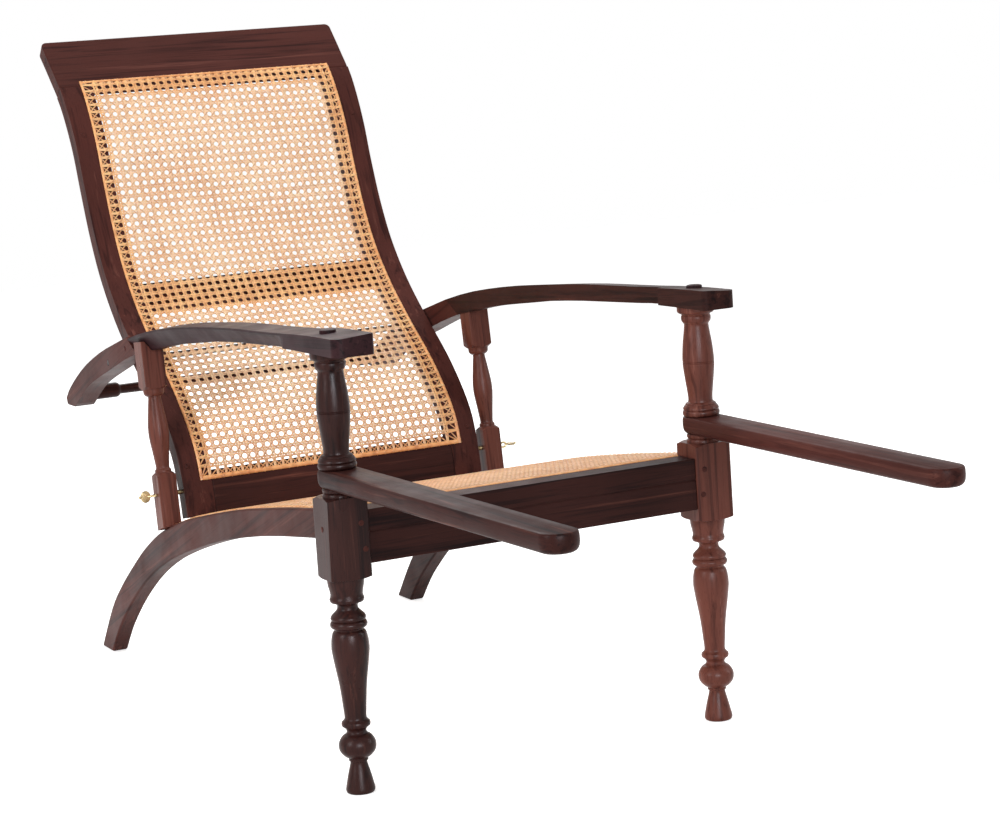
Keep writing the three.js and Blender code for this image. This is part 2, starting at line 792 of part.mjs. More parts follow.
// Leg rests, at the angles that they stand at
const restPlaces = [
  ['leg_rest_right', legRest(rightRestSetback), postX, rightRestTurn],
  ['leg_rest_left', legRest(0), -postX, leftRestTurn],
];
for (const [name, solid, x, turn] of restPlaces) {
  const mesh = add(name, solid, wood);
  mesh.position.set(x, 0, 0);
  mesh.rotation.z = turn;
}

// Side rails with the rear legs
const railStart = blockHalf + gap;
const railOutline = [
  ...stretch(railTop, railStart, railReach),
  ...[...pairs(railBottom)].filter(([y]) => y > railStart + overrun).reverse(),
  [railStart, heightAt(railBottom, railStart + overrun)],
];
addPair('side_rail', toSolid(sideBoard(railOutline, railInset, railOuter)), wood);

// Front seat rail with its incised bead
const railFrontFace = -half(frontRailThickness);
const railFlatEnd = railFrontFace + frontRailFlat;
const frontRailTop = heightAt(railTop, railFlatEnd);
const frontRailFoot = frontRailTop - frontRailDepth;
const beadTop = frontRailTop - beadDrop;
const frontRailOutline = [
  [railFrontFace, frontRailFoot],
  [-railFrontFace, frontRailFoot],
  [-railFrontFace, heightAt(railTop, -railFrontFace)],
  [railFlatEnd, frontRailTop],
  [railFrontFace, frontRailTop],
  [railFrontFace, beadTop],
  [railFrontFace + beadDepth, beadTop - half(beadWidth)],
  [railFrontFace, beadTop - beadWidth],
];
const frontRailHalf = postX - blockHalf - gap;
add('front_seat_rail', sideBoard(frontRailOutline, -frontRailHalf, frontRailHalf), wood);

// Rear seat rail under the end of the seat cane
const rearRailStart = pinReach + rearRailSetback;
const rearRailEnd = rearRailStart + rearRailThickness;
const rearRailTop = stretch(railTop, rearRailStart, rearRailEnd);
const rearRailOutline = [
  ...rearRailTop,
  ...[...rearRailTop].reverse().map(([y, z]) => [y, z - rearRailDepth]),
];
add('rear_seat_rail', sideBoard(rearRailOutline, -railInset + gap, railInset - gap), wood);

// Seat cane: a thin sheet over the rails, cut clear of the posts
const seatCurve = stretch(railTop, railFlatEnd, pinReach + seatCaneSetback);
const seatOutline = [
  ...seatCurve.map(([y, z]) => [y, z + gap]),
  ...[...seatCurve].reverse().map(([y, z]) => [y, z + gap + caneThickness]),
];
const seatHalf = railOuter - seatCaneMargin;
let seatSheet = toSolid(sideBoard(seatOutline, -seatHalf, seatHalf));
for (const side of [-1, 1]) {
  const clear = gap + gap;
  const front = blockHalf + clear;
  const frontNotch = box(
    side * postX - front, side * postX + front, -front, front, 0, armHeight,
  );
  seatSheet = seatSheet.subtract(toSolid(frontNotch));
  const rear = half(lowerBlockWidth) + clear;
  const rearNotch = box(-rear, rear, -rear, rear, 0, lowerBlockTop);
  rearNotch.applyMatrix4(rearPostPlace(side));
  seatSheet = seatSheet.subtract(toSolid(rearNotch));
}
add('seat_cane', seatSheet, cane);

// Arms
const tailSolid = toSolid(sideBoard(tailOutline(), armInner, armOuterRear));
const rodReach = upperRodReach();
const rodHeight = tailSeat(rodReach, upperRodSeatShare);
function rodHole(radius, reach, height, from, to) {
  const hole = cylinder(radius + gap, from, to, 16);
  hole.rotateY(half(Math.PI));
  hole.translate(0, reach, height);
  return toSolid(hole);
}
const lowerSocket = rodHole(
  rodTenonRadius, lowerRodReach, lowerRodHeight, 0, armInner + rodTenonLength + gap,
);
const upperSocket = rodHole(upperRodRadius, rodReach, rodHeight, 0, armHeight);
const scarfPegReach = tailStart + scarfPegReachShare * tailRun;
const scarfPeg = pegAt(
  new THREE.Vector3(
    armOuterRear,
    scarfPegReach,
    tailSeat(scarfPegReach, scarfPegHeightShare),
  ),
  outward, pegDepth, pegStand,
);
add('arm_board_right', armBoard(rightPaddleSetback, rightPaddleNarrowing), darkWood);
add('arm_board_left', mirrored(armBoard(0, 0)), darkWood);
addPair(
  'arm_tail',
  tailSolid.subtract(lowerSocket).subtract(upperSocket).subtract(scarfPeg.hole),
  redWood,
);
addPair('arm_peg', scarfPeg.peg, redWood);

// Rods between the arm tails
add('lower_rod', lowerRod(), darkWood);
const upperRod = cylinder(upperRodRadius, -armOuterRear, armOuterRear, 16);
upperRod.rotateY(half(Math.PI));
upperRod.translate(0, rodReach, rodHeight);
add('upper_rod', upperRod, wood);

// Rear posts
addPair('rear_post', rearPost(), wood);

// Back frame: the stiles and the crest widen a little towards the head
const crestStart = backCaneHead - crestLap;
const crestRounding = [0, 0.3, 0.7, 1].map((share) => backHead - crestRound * (1 - share));
function backLoft(from, to, innerEdge) {
  const heights = [...backHeights, ...crestRounding.slice(0, -1)]
    .filter((height) => height > from + gap && height < to - gap)
    .sort((a, b) => a - b);
  const sections = [from, ...heights, to].map((height) => {
    const { point, normal } = backPlace(height);
    const outer = heightAt(backTaper, height) - roundInset(crestRound, backHead - height);
    const inner = innerEdge(height, outer);
    const rear = point.clone().addScaledVector(normal, -backThickness);
    return [
      new THREE.Vector3(inner, point.x, point.y),
      new THREE.Vector3(outer, point.x, point.y),
      new THREE.Vector3(outer, rear.x, rear.y),
      new THREE.Vector3(inner, rear.x, rear.y),
    ];
  });
  return loft(sections);
}

const stileLoft = backLoft(backFootHeight, crestStart - gap, () => stileInner);
let stileSolid = toSolid(stileLoft);
stilePegShares.forEach((share, k) => {
  const { point, normal } = backPlace(backFootHeight + share * backRise);
  const joint = pegAt(
    new THREE.Vector3(backHalfWidth - stilePegSideShare * stileWidth, point.x, point.y),
    new THREE.Vector3(0, normal.x, normal.y),
    pegDepth, pegStand,
  );
  stileSolid = stileSolid.subtract(joint.hole);
  addPair(`stile_peg_${k + 1}`, joint.peg, redWood);
});
const pinSocket = rodHole(
  pinRadius, pinReach, pinHeight, backHalfWidth - pinDepth - gap, armHeight,
);
addPair('back_stile', stileSolid.subtract(pinSocket), wood);
add('crest_rail', backLoft(crestStart, backHead, (height, outer) => -outer), wood);
const railHalf = stileInner - gap;
const bottomRailHead = backCaneFoot + frameLap;
const bottomOutline = backLayer(backFootHeight, bottomRailHead, 0, backThickness);
add('back_bottom_rail', sideBoard(bottomOutline, -railHalf, railHalf), wood);
const slatFoot = backFootHeight + slatRise - half(slatWidth);
const slatOutline = backLayer(
  slatFoot, slatFoot + slatWidth, backThickness - slatThickness, backThickness,
);
add('back_slat', sideBoard(slatOutline, -railHalf, railHalf), wood);
const caneOutline = backLayer(backCaneFoot, backCaneHead, -gap - caneThickness, -gap);
const caneHalf = backHalfWidth - backCaneMargin;
add('back_cane', sideBoard(caneOutline, -caneHalf, caneHalf), cane);

// Brass pins
add('brass_pin_right', brassPin(0), brass);
add('brass_pin_left', mirrored(brassPin(half(Math.PI))), brass);

// The chair stands with the middle of its footprint at the origin
const bounds = new THREE.Box3().setFromObject(chair, true);
chair.position.y = -half(bounds.min.y + bounds.max.y);
chair.updateMatrixWorld(true);

const part = new THREE.Group();
part.add(chair);
export default part;
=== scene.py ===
import bisect
import math

import bmesh
import bpy
from mathutils import Matrix, Vector
from mathutils.bvhtree import BVHTree


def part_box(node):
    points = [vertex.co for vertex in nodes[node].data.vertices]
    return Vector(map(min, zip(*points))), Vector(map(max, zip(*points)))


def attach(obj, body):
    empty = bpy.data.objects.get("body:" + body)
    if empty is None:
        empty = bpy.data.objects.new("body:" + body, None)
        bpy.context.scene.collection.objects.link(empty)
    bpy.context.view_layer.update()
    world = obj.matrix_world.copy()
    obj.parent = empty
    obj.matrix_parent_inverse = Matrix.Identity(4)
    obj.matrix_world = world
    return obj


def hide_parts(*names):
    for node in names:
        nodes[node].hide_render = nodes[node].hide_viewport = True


# Planters chair in rosewood, cane and brass. Sizes of pieces in the dictionaries are
# millimetres; reach is counted from the axis of the front posts to the back, height from the
# floor. The right side is the far one in the photograph.
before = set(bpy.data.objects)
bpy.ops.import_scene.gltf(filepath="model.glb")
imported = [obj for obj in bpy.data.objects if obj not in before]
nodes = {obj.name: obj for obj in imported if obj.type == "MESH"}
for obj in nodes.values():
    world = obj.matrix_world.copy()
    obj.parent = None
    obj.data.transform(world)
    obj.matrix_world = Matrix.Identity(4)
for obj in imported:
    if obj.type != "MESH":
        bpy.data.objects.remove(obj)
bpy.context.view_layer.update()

mm = 0.001
quarterTurn = math.radians(90)
sides = {"right": 1, "left": -1}
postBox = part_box("front_leg_right")
postX = (postBox[0].x + postBox[1].x) / 2 / mm
frontY = (postBox[0].y + postBox[1].y) / 2 / mm


def place(x, reach, height):
    return Vector((x * mm, (reach + frontY) * mm, height * mm))


def newObject(name, data):
    item = bpy.data.objects.new(name, data)
    bpy.context.scene.collection.objects.link(item)
    return item


# Camera
view = {
    "position": (-1620.4, -3247.0, 1031.0),
    "azimuth": -26.154,
    "elevation": 6.648,
    "roll": -3.75,
    "lens": 97.69,
    "shiftY": -0.098,
    "clipEnd": 100,
}


def makeCamera():
    azimuth, elevation, roll = (math.radians(view[k]) for k in ("azimuth", "elevation", "roll"))
    back = Vector((
        math.sin(azimuth) * math.cos(elevation),
        -math.cos(azimuth) * math.cos(elevation),
        math.sin(elevation),
    ))
    right = Vector((0, 0, 1)).cross(back).normalized()
    up = back.cross(right)
    turnedRight = right * math.cos(roll) + up * math.sin(roll)
    turnedUp = up * math.cos(roll) - right * math.sin(roll)
    camera = newObject("camera", bpy.data.cameras.new("camera"))
    turn = Matrix((turnedRight, turnedUp, back)).transposed().to_4x4()
    camera.matrix_world = Matrix.Translation(place(*view["position"])) @ turn
    camera.data.lens = view["lens"]
    camera.data.shift_y = view["shiftY"]
    camera.data.clip_end = view["clipEnd"]
    bpy.context.scene.camera = camera


makeCamera()
bpy.context.scene.view_settings.view_transform = "Standard"
print("camera ready")


# Small helpers for node materials
def fill(node, inputs):
    for name, value in inputs.items():
        if isinstance(value, bpy.types.NodeSocket):
            node.id_data.links.new(value, node.inputs[name])
        else:
            node.inputs[name].default_value = value


def nodeIn(tree, kind, inputs=None, **settings):
    node = tree.nodes.new(kind)
    for name, value in settings.items():
        setattr(node, name, value)
    fill(node, inputs or {})
    return node


def mapped(tree, turn=(0, 0, 0), scale=(1, 1, 1)):
    # turned first and stretched after that
    coords = nodeIn(tree, "ShaderNodeTexCoord").outputs["Object"]
    turned = nodeIn(tree, "ShaderNodeMapping", {"Vector": coords, "Rotation": turn})
    inputs = {"Vector": turned.outputs[0], "Scale": scale}
    return nodeIn(tree, "ShaderNodeMapping", inputs).outputs[0]


def noise(tree, vector, scale, detail, roughness, distortion=0):
    inputs = {"Vector": vector, "Scale": scale, "Detail": detail, "Roughness": roughness,
              "Distortion": distortion}
    return nodeIn(tree, "ShaderNodeTexNoise", inputs).outputs["Fac"]


def ramp(tree, value, *stops):
    node = nodeIn(tree, "ShaderNodeValToRGB", {0: value})
    elements = node.color_ramp.elements
    while len(elements) < len(stops):
        elements.new(0.5)
    for element, (position, colour) in zip(elements, stops):
        element.position = position
        element.color = (*colour, 1)
    return node.outputs[0]


def mix(tree, a, b, factor, blend="MIX"):
    inputs = {"Factor": factor, 6: a, 7: b}
    node = nodeIn(tree, "ShaderNodeMix", inputs, data_type="RGBA", blend_type=blend)
    return node.outputs[2]


def stretch(tree, value, low, high, toLow=0, toHigh=1):
    inputs = {"Value": value, "From Min": low, "From Max": high, "To Min": toLow,
              "To Max": toHigh}
    return nodeIn(tree, "ShaderNodeMapRange", inputs).outputs[0]


def maximum(tree, a, b):
    return nodeIn(tree, "ShaderNodeMath", {0: a, 1: b}, operation="MAXIMUM").outputs[0]


def bump(tree, height, strength, distance):
    inputs = {"Strength": strength, "Distance": distance, "Height": height}
    return nodeIn(tree, "ShaderNodeBump", inputs).outputs[0]


def newMaterial(name):
    material = bpy.data.materials.new(name)
    material.use_nodes = True
    return material, material.node_tree, material.node_tree.nodes["Principled BSDF"]


# Rosewood. Its grain runs along the local X of a turned and stretched copy of the object's
# own coordinates, so each direction of board and each shade has its own material.
rosewood = {
    "shades": {  # dark vein, body, light streak
        "brown": ((0.028, 0.009, 0.008), (0.066, 0.020, 0.016), (0.135, 0.047, 0.036)),
        "red": ((0.055, 0.016, 0.012), (0.140, 0.044, 0.031), (0.235, 0.090, 0.066)),
        "dark": ((0.012, 0.005, 0.005), (0.036, 0.012, 0.010), (0.100, 0.035, 0.026)),
        "black": ((0.010, 0.005, 0.006), (0.030, 0.012, 0.014), (0.060, 0.027, 0.027)),
    },
    "grain": (1.6, 46, 46),
    "poreGrain": (4.8, 414, 414),
    # scale, detail, roughness and distortion of each noise
    "streaks": (1.6, 5, 0.62, 0.35),
    "veins": (2.6, 3, 0.5, 0.8),
    "pores": (2.2, 2, 0.5),
    "clouds": (4.2, 2, 0.5),
    "wear": (16, 3, 0.6),
    "streakStops": (0.34, 0.47, 0.60, 0.74),
    # the range of a noise that counts, and what it becomes
    "veinShare": (0.56, 0.68, 0, 0.7),
    "poreShare": (0.40, 0.30, 0, 0.55),
    "cloudTone": (0.3, 0.7, 0.72, 1.25),
    "wearRange": (0.3, 0.7),
    "turned": {"roughness": (0.26, 0.38), "specular": 0.10},
    "sawn": {"roughness": (0.34, 0.50), "specular": 0.05},
    "poreBump": (0.35, 0.0004),
}
woodMade = {}


def wood(shade, alongX=0.0, alongY=0.0, alongZ=0.0, finish="sawn"):
    key = (shade, alongX, alongY, alongZ, finish)
    if key in woodMade:
        return woodMade[key]
    s = rosewood
    # turns that carry the grain's direction onto the local X axis
    direction = Vector((alongX, alongY, alongZ)).normalized()
    turn = direction.rotation_difference(Vector((1, 0, 0))).to_euler()
    material, tree, shader = newMaterial(f"rosewood_{shade}_{len(woodMade)}")
    vein, body, light = s["shades"][shade]
    grain, even = mapped(tree, turn, s["grain"]), mapped(tree)
    streaks = noise(tree, grain, *s["streaks"])
    veins = noise(tree, grain, *s["veins"])
    pores = noise(tree, mapped(tree, turn, s["poreGrain"]), *s["pores"])
    clouds = noise(tree, even, *s["clouds"])
    wear = noise(tree, even, *s["wear"])
    colour = ramp(tree, streaks, *zip(s["streakStops"], (vein, body, body, light)))
    colour = mix(tree, colour, (*vein, 1), stretch(tree, veins, *s["veinShare"]))
    colour = mix(tree, colour, (*vein, 1), stretch(tree, pores, *s["poreShare"]))
    cloudTone = stretch(tree, clouds, *s["cloudTone"])
    grey = nodeIn(tree, "ShaderNodeCombineColor", {k: cloudTone for k in range(3)})
    fill(shader, {
        "Base Color": mix(tree, colour, grey.outputs[0], 1.0, "MULTIPLY"),
        "Roughness": stretch(tree, wear, *s["wearRange"], *s[finish]["roughness"]),
        "Normal": bump(tree, pores, *s["poreBump"]),
        "Specular IOR Level": s[finish]["specular"],
    })
    woodMade[key] = material
    return material


# Cane: strands of split rattan, glossy and uneven in tone. Free strands keep a paler colour,
# painted light that stands for light coming through them; strands that lie over wood, and the
# seat's in part, are tinted a deeper gold as painted shade. Lengths here are metres.
caneLook = {
    "deep": (0.42, 0.18, 0.080),
    "mid": (0.74, 0.43, 0.230),
    "pale": (0.92, 0.68, 0.460),
    # painted shade: the deeper gold of strands with no light behind them, and its share on each
    # panel
    "paintedShadeOverWood": (1.0, 0.84, 0.60),
    "paintedShadeShare": {"seat": 0.55, "borders": 1.0},
    "families": {  # scale of the strands' own noise, tone, light that comes through
        "uprights": ((1, 0.1, 0.1), (1, 1, 1), 0.25),
        "crossings": ((0.1, 1, 1), (1, 1, 1), 0.25),
        "diagonals": ((0.5, 0.5, 0.5), (0.80, 0.72, 0.68), 0.25),
        "counters": ((0.5, 0.5, 0.5), (0.80, 0.72, 0.68), 0.25),
        "binder": ((0.5, 0.5, 0.5), (0.98, 0.86, 0.76), 0.15),
    },
    "stileEdge": 0.199,
    "stileBlend": 0.003,
    "railBlend": 0.006,
    # scale, detail and roughness of each noise
    "patches": (9, 3, 0.6),
    "strands": (190, 2, 0.5),
    "strandRange": (0.3, 0.7),
    "strandStops": (0.0, 0.45, 1.0),
    "patchStops": (0.35, 0.65),
    "patchShare": 0.45,
    "surface": {
        "Roughness": 0.40, "Subsurface Scale": 0.002, "Subsurface Radius": (1.0, 0.5, 0.2),
        "Coat Weight": 0.15, "Coat Roughness": 0.3,
    },
    "bump": (0.3, 0.0003),
}


# 1 where the back's strands lie over its wood and take painted shade, 0 where stretched free
def paintedShadeOverWood(tree):
    s = caneLook
    coords = nodeIn(tree, "ShaderNodeTexCoord").outputs["Object"]
    parts = nodeIn(tree, "ShaderNodeSeparateXYZ", {0: coords})
    aside = nodeIn(tree, "ShaderNodeMath", {0: parts.outputs["X"]}, operation="ABSOLUTE")
    edge, blend, soft = s["stileEdge"], s["stileBlend"], s["railBlend"]
    beside = stretch(tree, aside.outputs[0], edge - blend, edge + blend)
    off, on = (0, 0, 0), (1, 1, 1)
    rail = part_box("back_bottom_rail")[1].z
    low, high = (corner.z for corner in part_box("back_slat"))
    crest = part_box("crest_rail")[0].z
    across = ramp(
        tree, parts.outputs["Z"],
        (rail, on), (rail + soft, off),
        (low - soft, off), (low, on), (high, on), (high + soft, off),
        (crest - soft, off), (crest, on),
    )
    return maximum(tree, beside, across)


def cane(panel, family):
    s = caneLook
    scale, tone, glow = s["families"][family]
    material, tree, shader = newMaterial(f"cane_{panel}_{family}")
    paintedShadeShare = paintedShadeOverWood(tree) if panel == "back" else s["paintedShadeShare"][panel]
    patch = noise(tree, mapped(tree), *s["patches"])
    strand = noise(tree, mapped(tree, scale=scale), *s["strands"])
    colour = ramp(
        tree, stretch(tree, strand, *s["strandRange"]),
        *zip(s["strandStops"], (s["deep"], s["mid"], s["pale"])),
    )
    patchColour = ramp(tree, patch, *zip(s["patchStops"], (s["mid"], s["pale"])))
    colour = mix(tree, colour, patchColour, s["patchShare"])
    # painted shade: deeper gold where no light comes through the strands from behind
    colour = mix(tree, colour, (*s["paintedShadeOverWood"], 1), paintedShadeShare, "MULTIPLY")
    colour = mix(tree, colour, (*tone, 1), 1.0, "MULTIPLY")
    fill(shader, s["surface"])
    fill(shader, {
        "Base Color": colour,
        "Subsurface Weight": glow,
        "Normal": bump(tree, strand, *s["bump"]),
    })
    return material


# Brass, dull where it is tarnished
brassLook = {
    "tarnish": (140, 4, 0.6),
    "stops": ((0.35, (0.20, 0.145, 0.070)), (0.62, (0.60, 0.47, 0.26))),
    "roughness": (0.3, 0.7, 0.5, 0.28),
    "bump": (0.4, 0.0003),
}


def makeBrass():
    material, tree, shader = newMaterial("aged_brass")
    tarnish = noise(tree, mapped(tree), *brassLook["tarnish"])
    fill(shader, {
        "Base Color": ramp(tree, tarnish, *brassLook["stops"]),
        "Metallic": 1,
        "Roughness": stretch(tree, tarnish, *brassLook["roughness"]),
        "Normal": bump(tree, tarnish, *brassLook["bump"]),
    })
    return material


caneStrands = {
    f"{panel}_weave": {
        family: cane(panel, family)
        for family in ("uprights", "crossings", "diagonals", "counters")
    }
    for panel in ("back", "seat")
}
caneBinder = cane("borders", "binder")
agedBrass = makeBrass()
print("materials ready")

# Points closer than this (in metres) are one, in new shapes and in the CAD's triangles, and
# flatter than this angle the triangles are one face
samePlace = 1e-7
sameCorner = 2e-6
flatAngle = math.radians(0.15)


# Small helpers for meshes
def meshOf(name, shape):
    mesh = bpy.data.meshes.new(name)
    shape.to_mesh(mesh)
    shape.free()
    return mesh


def newPiece(name, shape, material, body, replaced, sharp):
    bmesh.ops.recalc_face_normals(shape, faces=shape.faces)
    mesh = meshOf(name, shape)
    mesh.materials.append(material)
    piece = newObject(name, mesh)
    mesh.shade_smooth()
    mesh.set_sharp_from_angle(angle=math.radians(sharp))
    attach(piece, body)
    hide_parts(replaced)
    return piece


# A smooth line through corner points, with a few points between each two
def eased(points, steps):
    line = []
    for k in range(len(points) - 1):
        before = points[max(k - 1, 0)]
        start, end = points[k], points[k + 1]
        after = points[min(k + 2, len(points) - 1)]
        for step in range(steps):
            t = step / steps
            line.append(tuple(
                0.5 * (
                    2 * b + (c - a) * t + (2 * a - 5 * b + 4 * c - d) * t * t
                    + (3 * b - a - 3 * c + d) * t * t * t
                )
                for a, b, c, d in zip(before, start, end, after)
            ))
    line.append(tuple(points[-1]))
    return line


# Outline of a turned piece: shares of a radius and of a height. Each run of points is smooth
# and starts at a sharp arris, where the last one ended.
def turnedOutline(runs, radius, foot, height, steps=4):
    outline, last = [], []
    for run in runs:
        points = eased([(a * radius, foot + b * height) for a, b in last + run], steps)
        outline += points[len(last):]
        last = run[-1:]
    return outline


def spun(outline, segments):
    shape = bmesh.new()
    axisLow, axisHigh = (0, outline[0][1]), (0, outline[-1][1])
    rim = [shape.verts.new((r * mm, 0, z * mm)) for r, z in [axisLow, *outline, axisHigh]]
    edges = [shape.edges.new(pair) for pair in zip(rim, rim[1:])]
    bmesh.ops.spin(
        shape, geom=rim + edges, axis=(0, 0, 1), cent=(0, 0, 0), angle=2 * math.pi,
        steps=segments, use_merge=True,
    )
    bmesh.ops.remove_doubles(shape, verts=shape.verts, dist=samePlace)
    return shape


def rounded(shape, edges, radius, segments):
    bmesh.ops.bevel(
        shape, geom=edges, offset=radius * mm, offset_type="OFFSET", segments=segments,
        profile=0.5, affect="EDGES", clamp_overlap=True, material=-1,
    )


def foldedEdges(shape, angle, length=0):
    return [
        e for e in shape.edges
        if len(e.link_faces) == 2 and e.calc_face_angle(0) > math.radians(angle)
        and e.calc_length() > length * mm
    ]


# Copy of a CAD node, its arrises eased and its flat faces whole again
def easedCopy(nodeName, radius, angle=28, segments=3):
    shape = bmesh.new()
    shape.from_mesh(nodes[nodeName].data)
    bmesh.ops.remove_doubles(shape, verts=shape.verts, dist=sameCorner)
    bmesh.ops.dissolve_limit(shape, angle_limit=flatAngle, verts=shape.verts, edges=shape.edges)
    if radius:
        rounded(shape, foldedEdges(shape, angle), radius, segments)
    return shape


def join(*shapes):
    whole = bmesh.new()
    for shape in shapes:
        mesh = meshOf("part", shape)
        whole.from_mesh(mesh)
        bpy.data.meshes.remove(mesh)
    return whole


# Two closed shapes made one by Blender's own boolean modifier
def combined(shape, other, operation):
    parts = []
    for part in (shape, other):
        bmesh.ops.recalc_face_normals(part, faces=part.faces)
        parts.append(newObject("part", meshOf("part", part)))
    modifier = parts[0].modifiers.new("combine", "BOOLEAN")
    modifier.object = parts[1]
    modifier.operation = operation
    modifier.solver = "EXACT"
    graph = bpy.context.evaluated_depsgraph_get()
    result = bmesh.new()
    result.from_mesh(parts[0].evaluated_get(graph).to_mesh())
    for part in parts:
        mesh = part.data
        bpy.data.objects.remove(part)
        bpy.data.meshes.remove(mesh)
    return result


def moved(shape, matrix):
    bmesh.ops.transform(shape, matrix=matrix, verts=shape.verts)
    return shape


def onFrontPost(shape, side):
    return moved(shape, Matrix.Translation(place(sides[side] * postX, 0, 0)))


def lyingAlongX(shape):
    return moved(shape, Matrix.Rotation(quarterTurn, 4, "Y"))


def mirroredX(shape):
    copy = shape.copy()
    bmesh.ops.scale(copy, vec=(-1, 1, 1), verts=copy.verts)
    bmesh.ops.reverse_faces(copy, faces=copy.faces)
    return copy


# Square block of a turned post. Where an end has a shoulder, the lathe cuts the corners down
# to it, by the end's rise for every shoulderRun of radius.
blocks = {"shoulderRun": 8, "latheSegments": 72, "arrisAngle": 38, "arrisLength": 12,
          "arris": 0.9, "arrisSegments": 2}


def squareBlock(width, foot, head, footRise, headRise, shoulder, chamfer):
    block, height = bmesh.new(), (head - foot) * mm
    bmesh.ops.create_cube(block, size=1)
    bmesh.ops.scale(block, vec=(width * mm, width * mm, height), verts=block.verts)
    bmesh.ops.translate(block, vec=(0, 0, (head + foot) / 2 * mm), verts=block.verts)
    for sideX, sideY in ((1, -1), (1, 1), (-1, -1), (-1, 1)):
        upright = [
            e for e in block.edges
            if all(v.co.x * sideX > 0 and v.co.y * sideY > 0 for v in e.verts)
            and abs(e.verts[0].co.z - e.verts[1].co.z) > height / 2
        ]
        rounded(block, upright, chamfer, 1)
    runs = (width - shoulder) / blocks["shoulderRun"]
    low = [(shoulder, foot), (width, foot + runs * footRise)] if footRise else [(width, foot)]
    high = [(width, head - runs * headRise), (shoulder, head)] if headRise else [(width, head)]
    return combined(block, spun(low + high, blocks["latheSegments"]), "INTERSECT")


# Cuts a block off at the plane through three points
def planed(block, facet):
    a, b, c = (Vector(corner) * mm for corner in facet)
    cut = bmesh.ops.bisect_plane(
        block, geom=block.verts[:] + block.edges[:] + block.faces[:], plane_co=a,
        plane_no=(a - b).cross(c - a), clear_outer=True,
    )
    rim = [e for e in cut["geom_cut"] if isinstance(e, bmesh.types.BMEdge)]
    bmesh.ops.holes_fill(block, edges=rim)


# Front legs: turned stem, square block, collar and spindle
frontLeg = {
    "radius": 25, "overrun": 6, "spindle": 11, "spindleTop": 435.5,
    "block": {"width": 56, "foot": 290, "head": 399, "footRise": 2.5, "headRise": 4,
              "shoulder": 31, "chamfer": 2.5},
    # near posts dark and far posts red: partly the wood's own tone, partly painted shade and
    # light
    "shades": {"right": "red", "left": "dark"},
    "segments": 64, "collarSegments": 48, "sharp": 32,
    # the near block's front corner is planed off askew, wider at the foot
    "facets": {"left": ((-28, -24.4, 399), (-15.5, -28, 399), (1, -28, 290))},
    # radius, height over the block
    "collar": [(22.5, -5), (22.5, 1.5), (21.7, 4), (20.1, 5.2), (21.9, 6.6), (22.3, 9.2),
               (21.3, 11.2), (11, 11.2)],
    "foot": [
        [(0.71, 0), (0.75, 0.003), (0.784, 0.012), (0.768, 0.026), (0.62, 0.083), (0.472, 0.131),
         (0.448, 0.147)],
        [(0.52, 0.15)],
        [(0.52, 0.162)],
        [(0.72, 0.172), (0.928, 0.193), (1, 0.2155), (0.968, 0.238), (0.8, 0.262), (0.6, 0.274),
         (0.528, 0.283)],
        [(0.536, 0.293), (0.64, 0.305), (0.752, 0.312)],
        [(0.775, 0.321), (0.752, 0.331)],
        [(0.66, 0.338), (0.588, 0.35), (0.608, 0.386), (0.728, 0.5), (0.892, 0.593), (1.0, 0.66),
         (1.008, 0.685), (0.984, 0.714), (0.9, 0.745), (0.76, 0.759)],
        [(0.78, 0.7655)],
        [(0.94, 0.7725), (0.996, 0.786), (0.936, 0.798), (0.872, 0.802)],
        [(0.944, 0.8135), (0.88, 0.8275), (0.62, 0.85), (0.556, 0.862), (0.568, 0.876),
         (0.72, 0.886), (0.88, 0.89)],
        [(0.925, 0.902), (0.88, 0.914)],
        [(0.862, 0.924)],
        [(0.90, 0.945), (0.968, 0.972), (0.99, 1.0)],
    ],
}


def makeFrontLeg(side):
    s = frontLeg
    foot, head = s["block"]["foot"], s["block"]["head"]
    outline = turnedOutline(s["foot"], s["radius"], 0, foot)
    stem = spun([*outline, (outline[-1][0], foot + s["overrun"])], s["segments"])
    collar = [(radius, head + height) for radius, height in s["collar"]]
    top = spun([*collar, (s["spindle"], s["spindleTop"])], s["collarSegments"])
    block = squareBlock(**s["block"])
    if side in s["facets"]:
        planed(block, s["facets"][side])
    arrises = foldedEdges(block, blocks["arrisAngle"], blocks["arrisLength"])
    rounded(block, arrises, blocks["arris"], blocks["arrisSegments"])
    return combined(combined(block, stem, "UNION"), top, "UNION")


for side in sides:
    shape = onFrontPost(makeFrontLeg(side), side)
    # the near leg's darker shade is partly painted shade, the far leg's red partly painted light
    look = wood(frontLeg["shades"][side], alongZ=1, finish="turned")
    newPiece(
        f"leg_turned_{side}", shape, look, "frame", f"front_leg_{side}",
        frontLeg["sharp"],
    )
print("front legs ready")

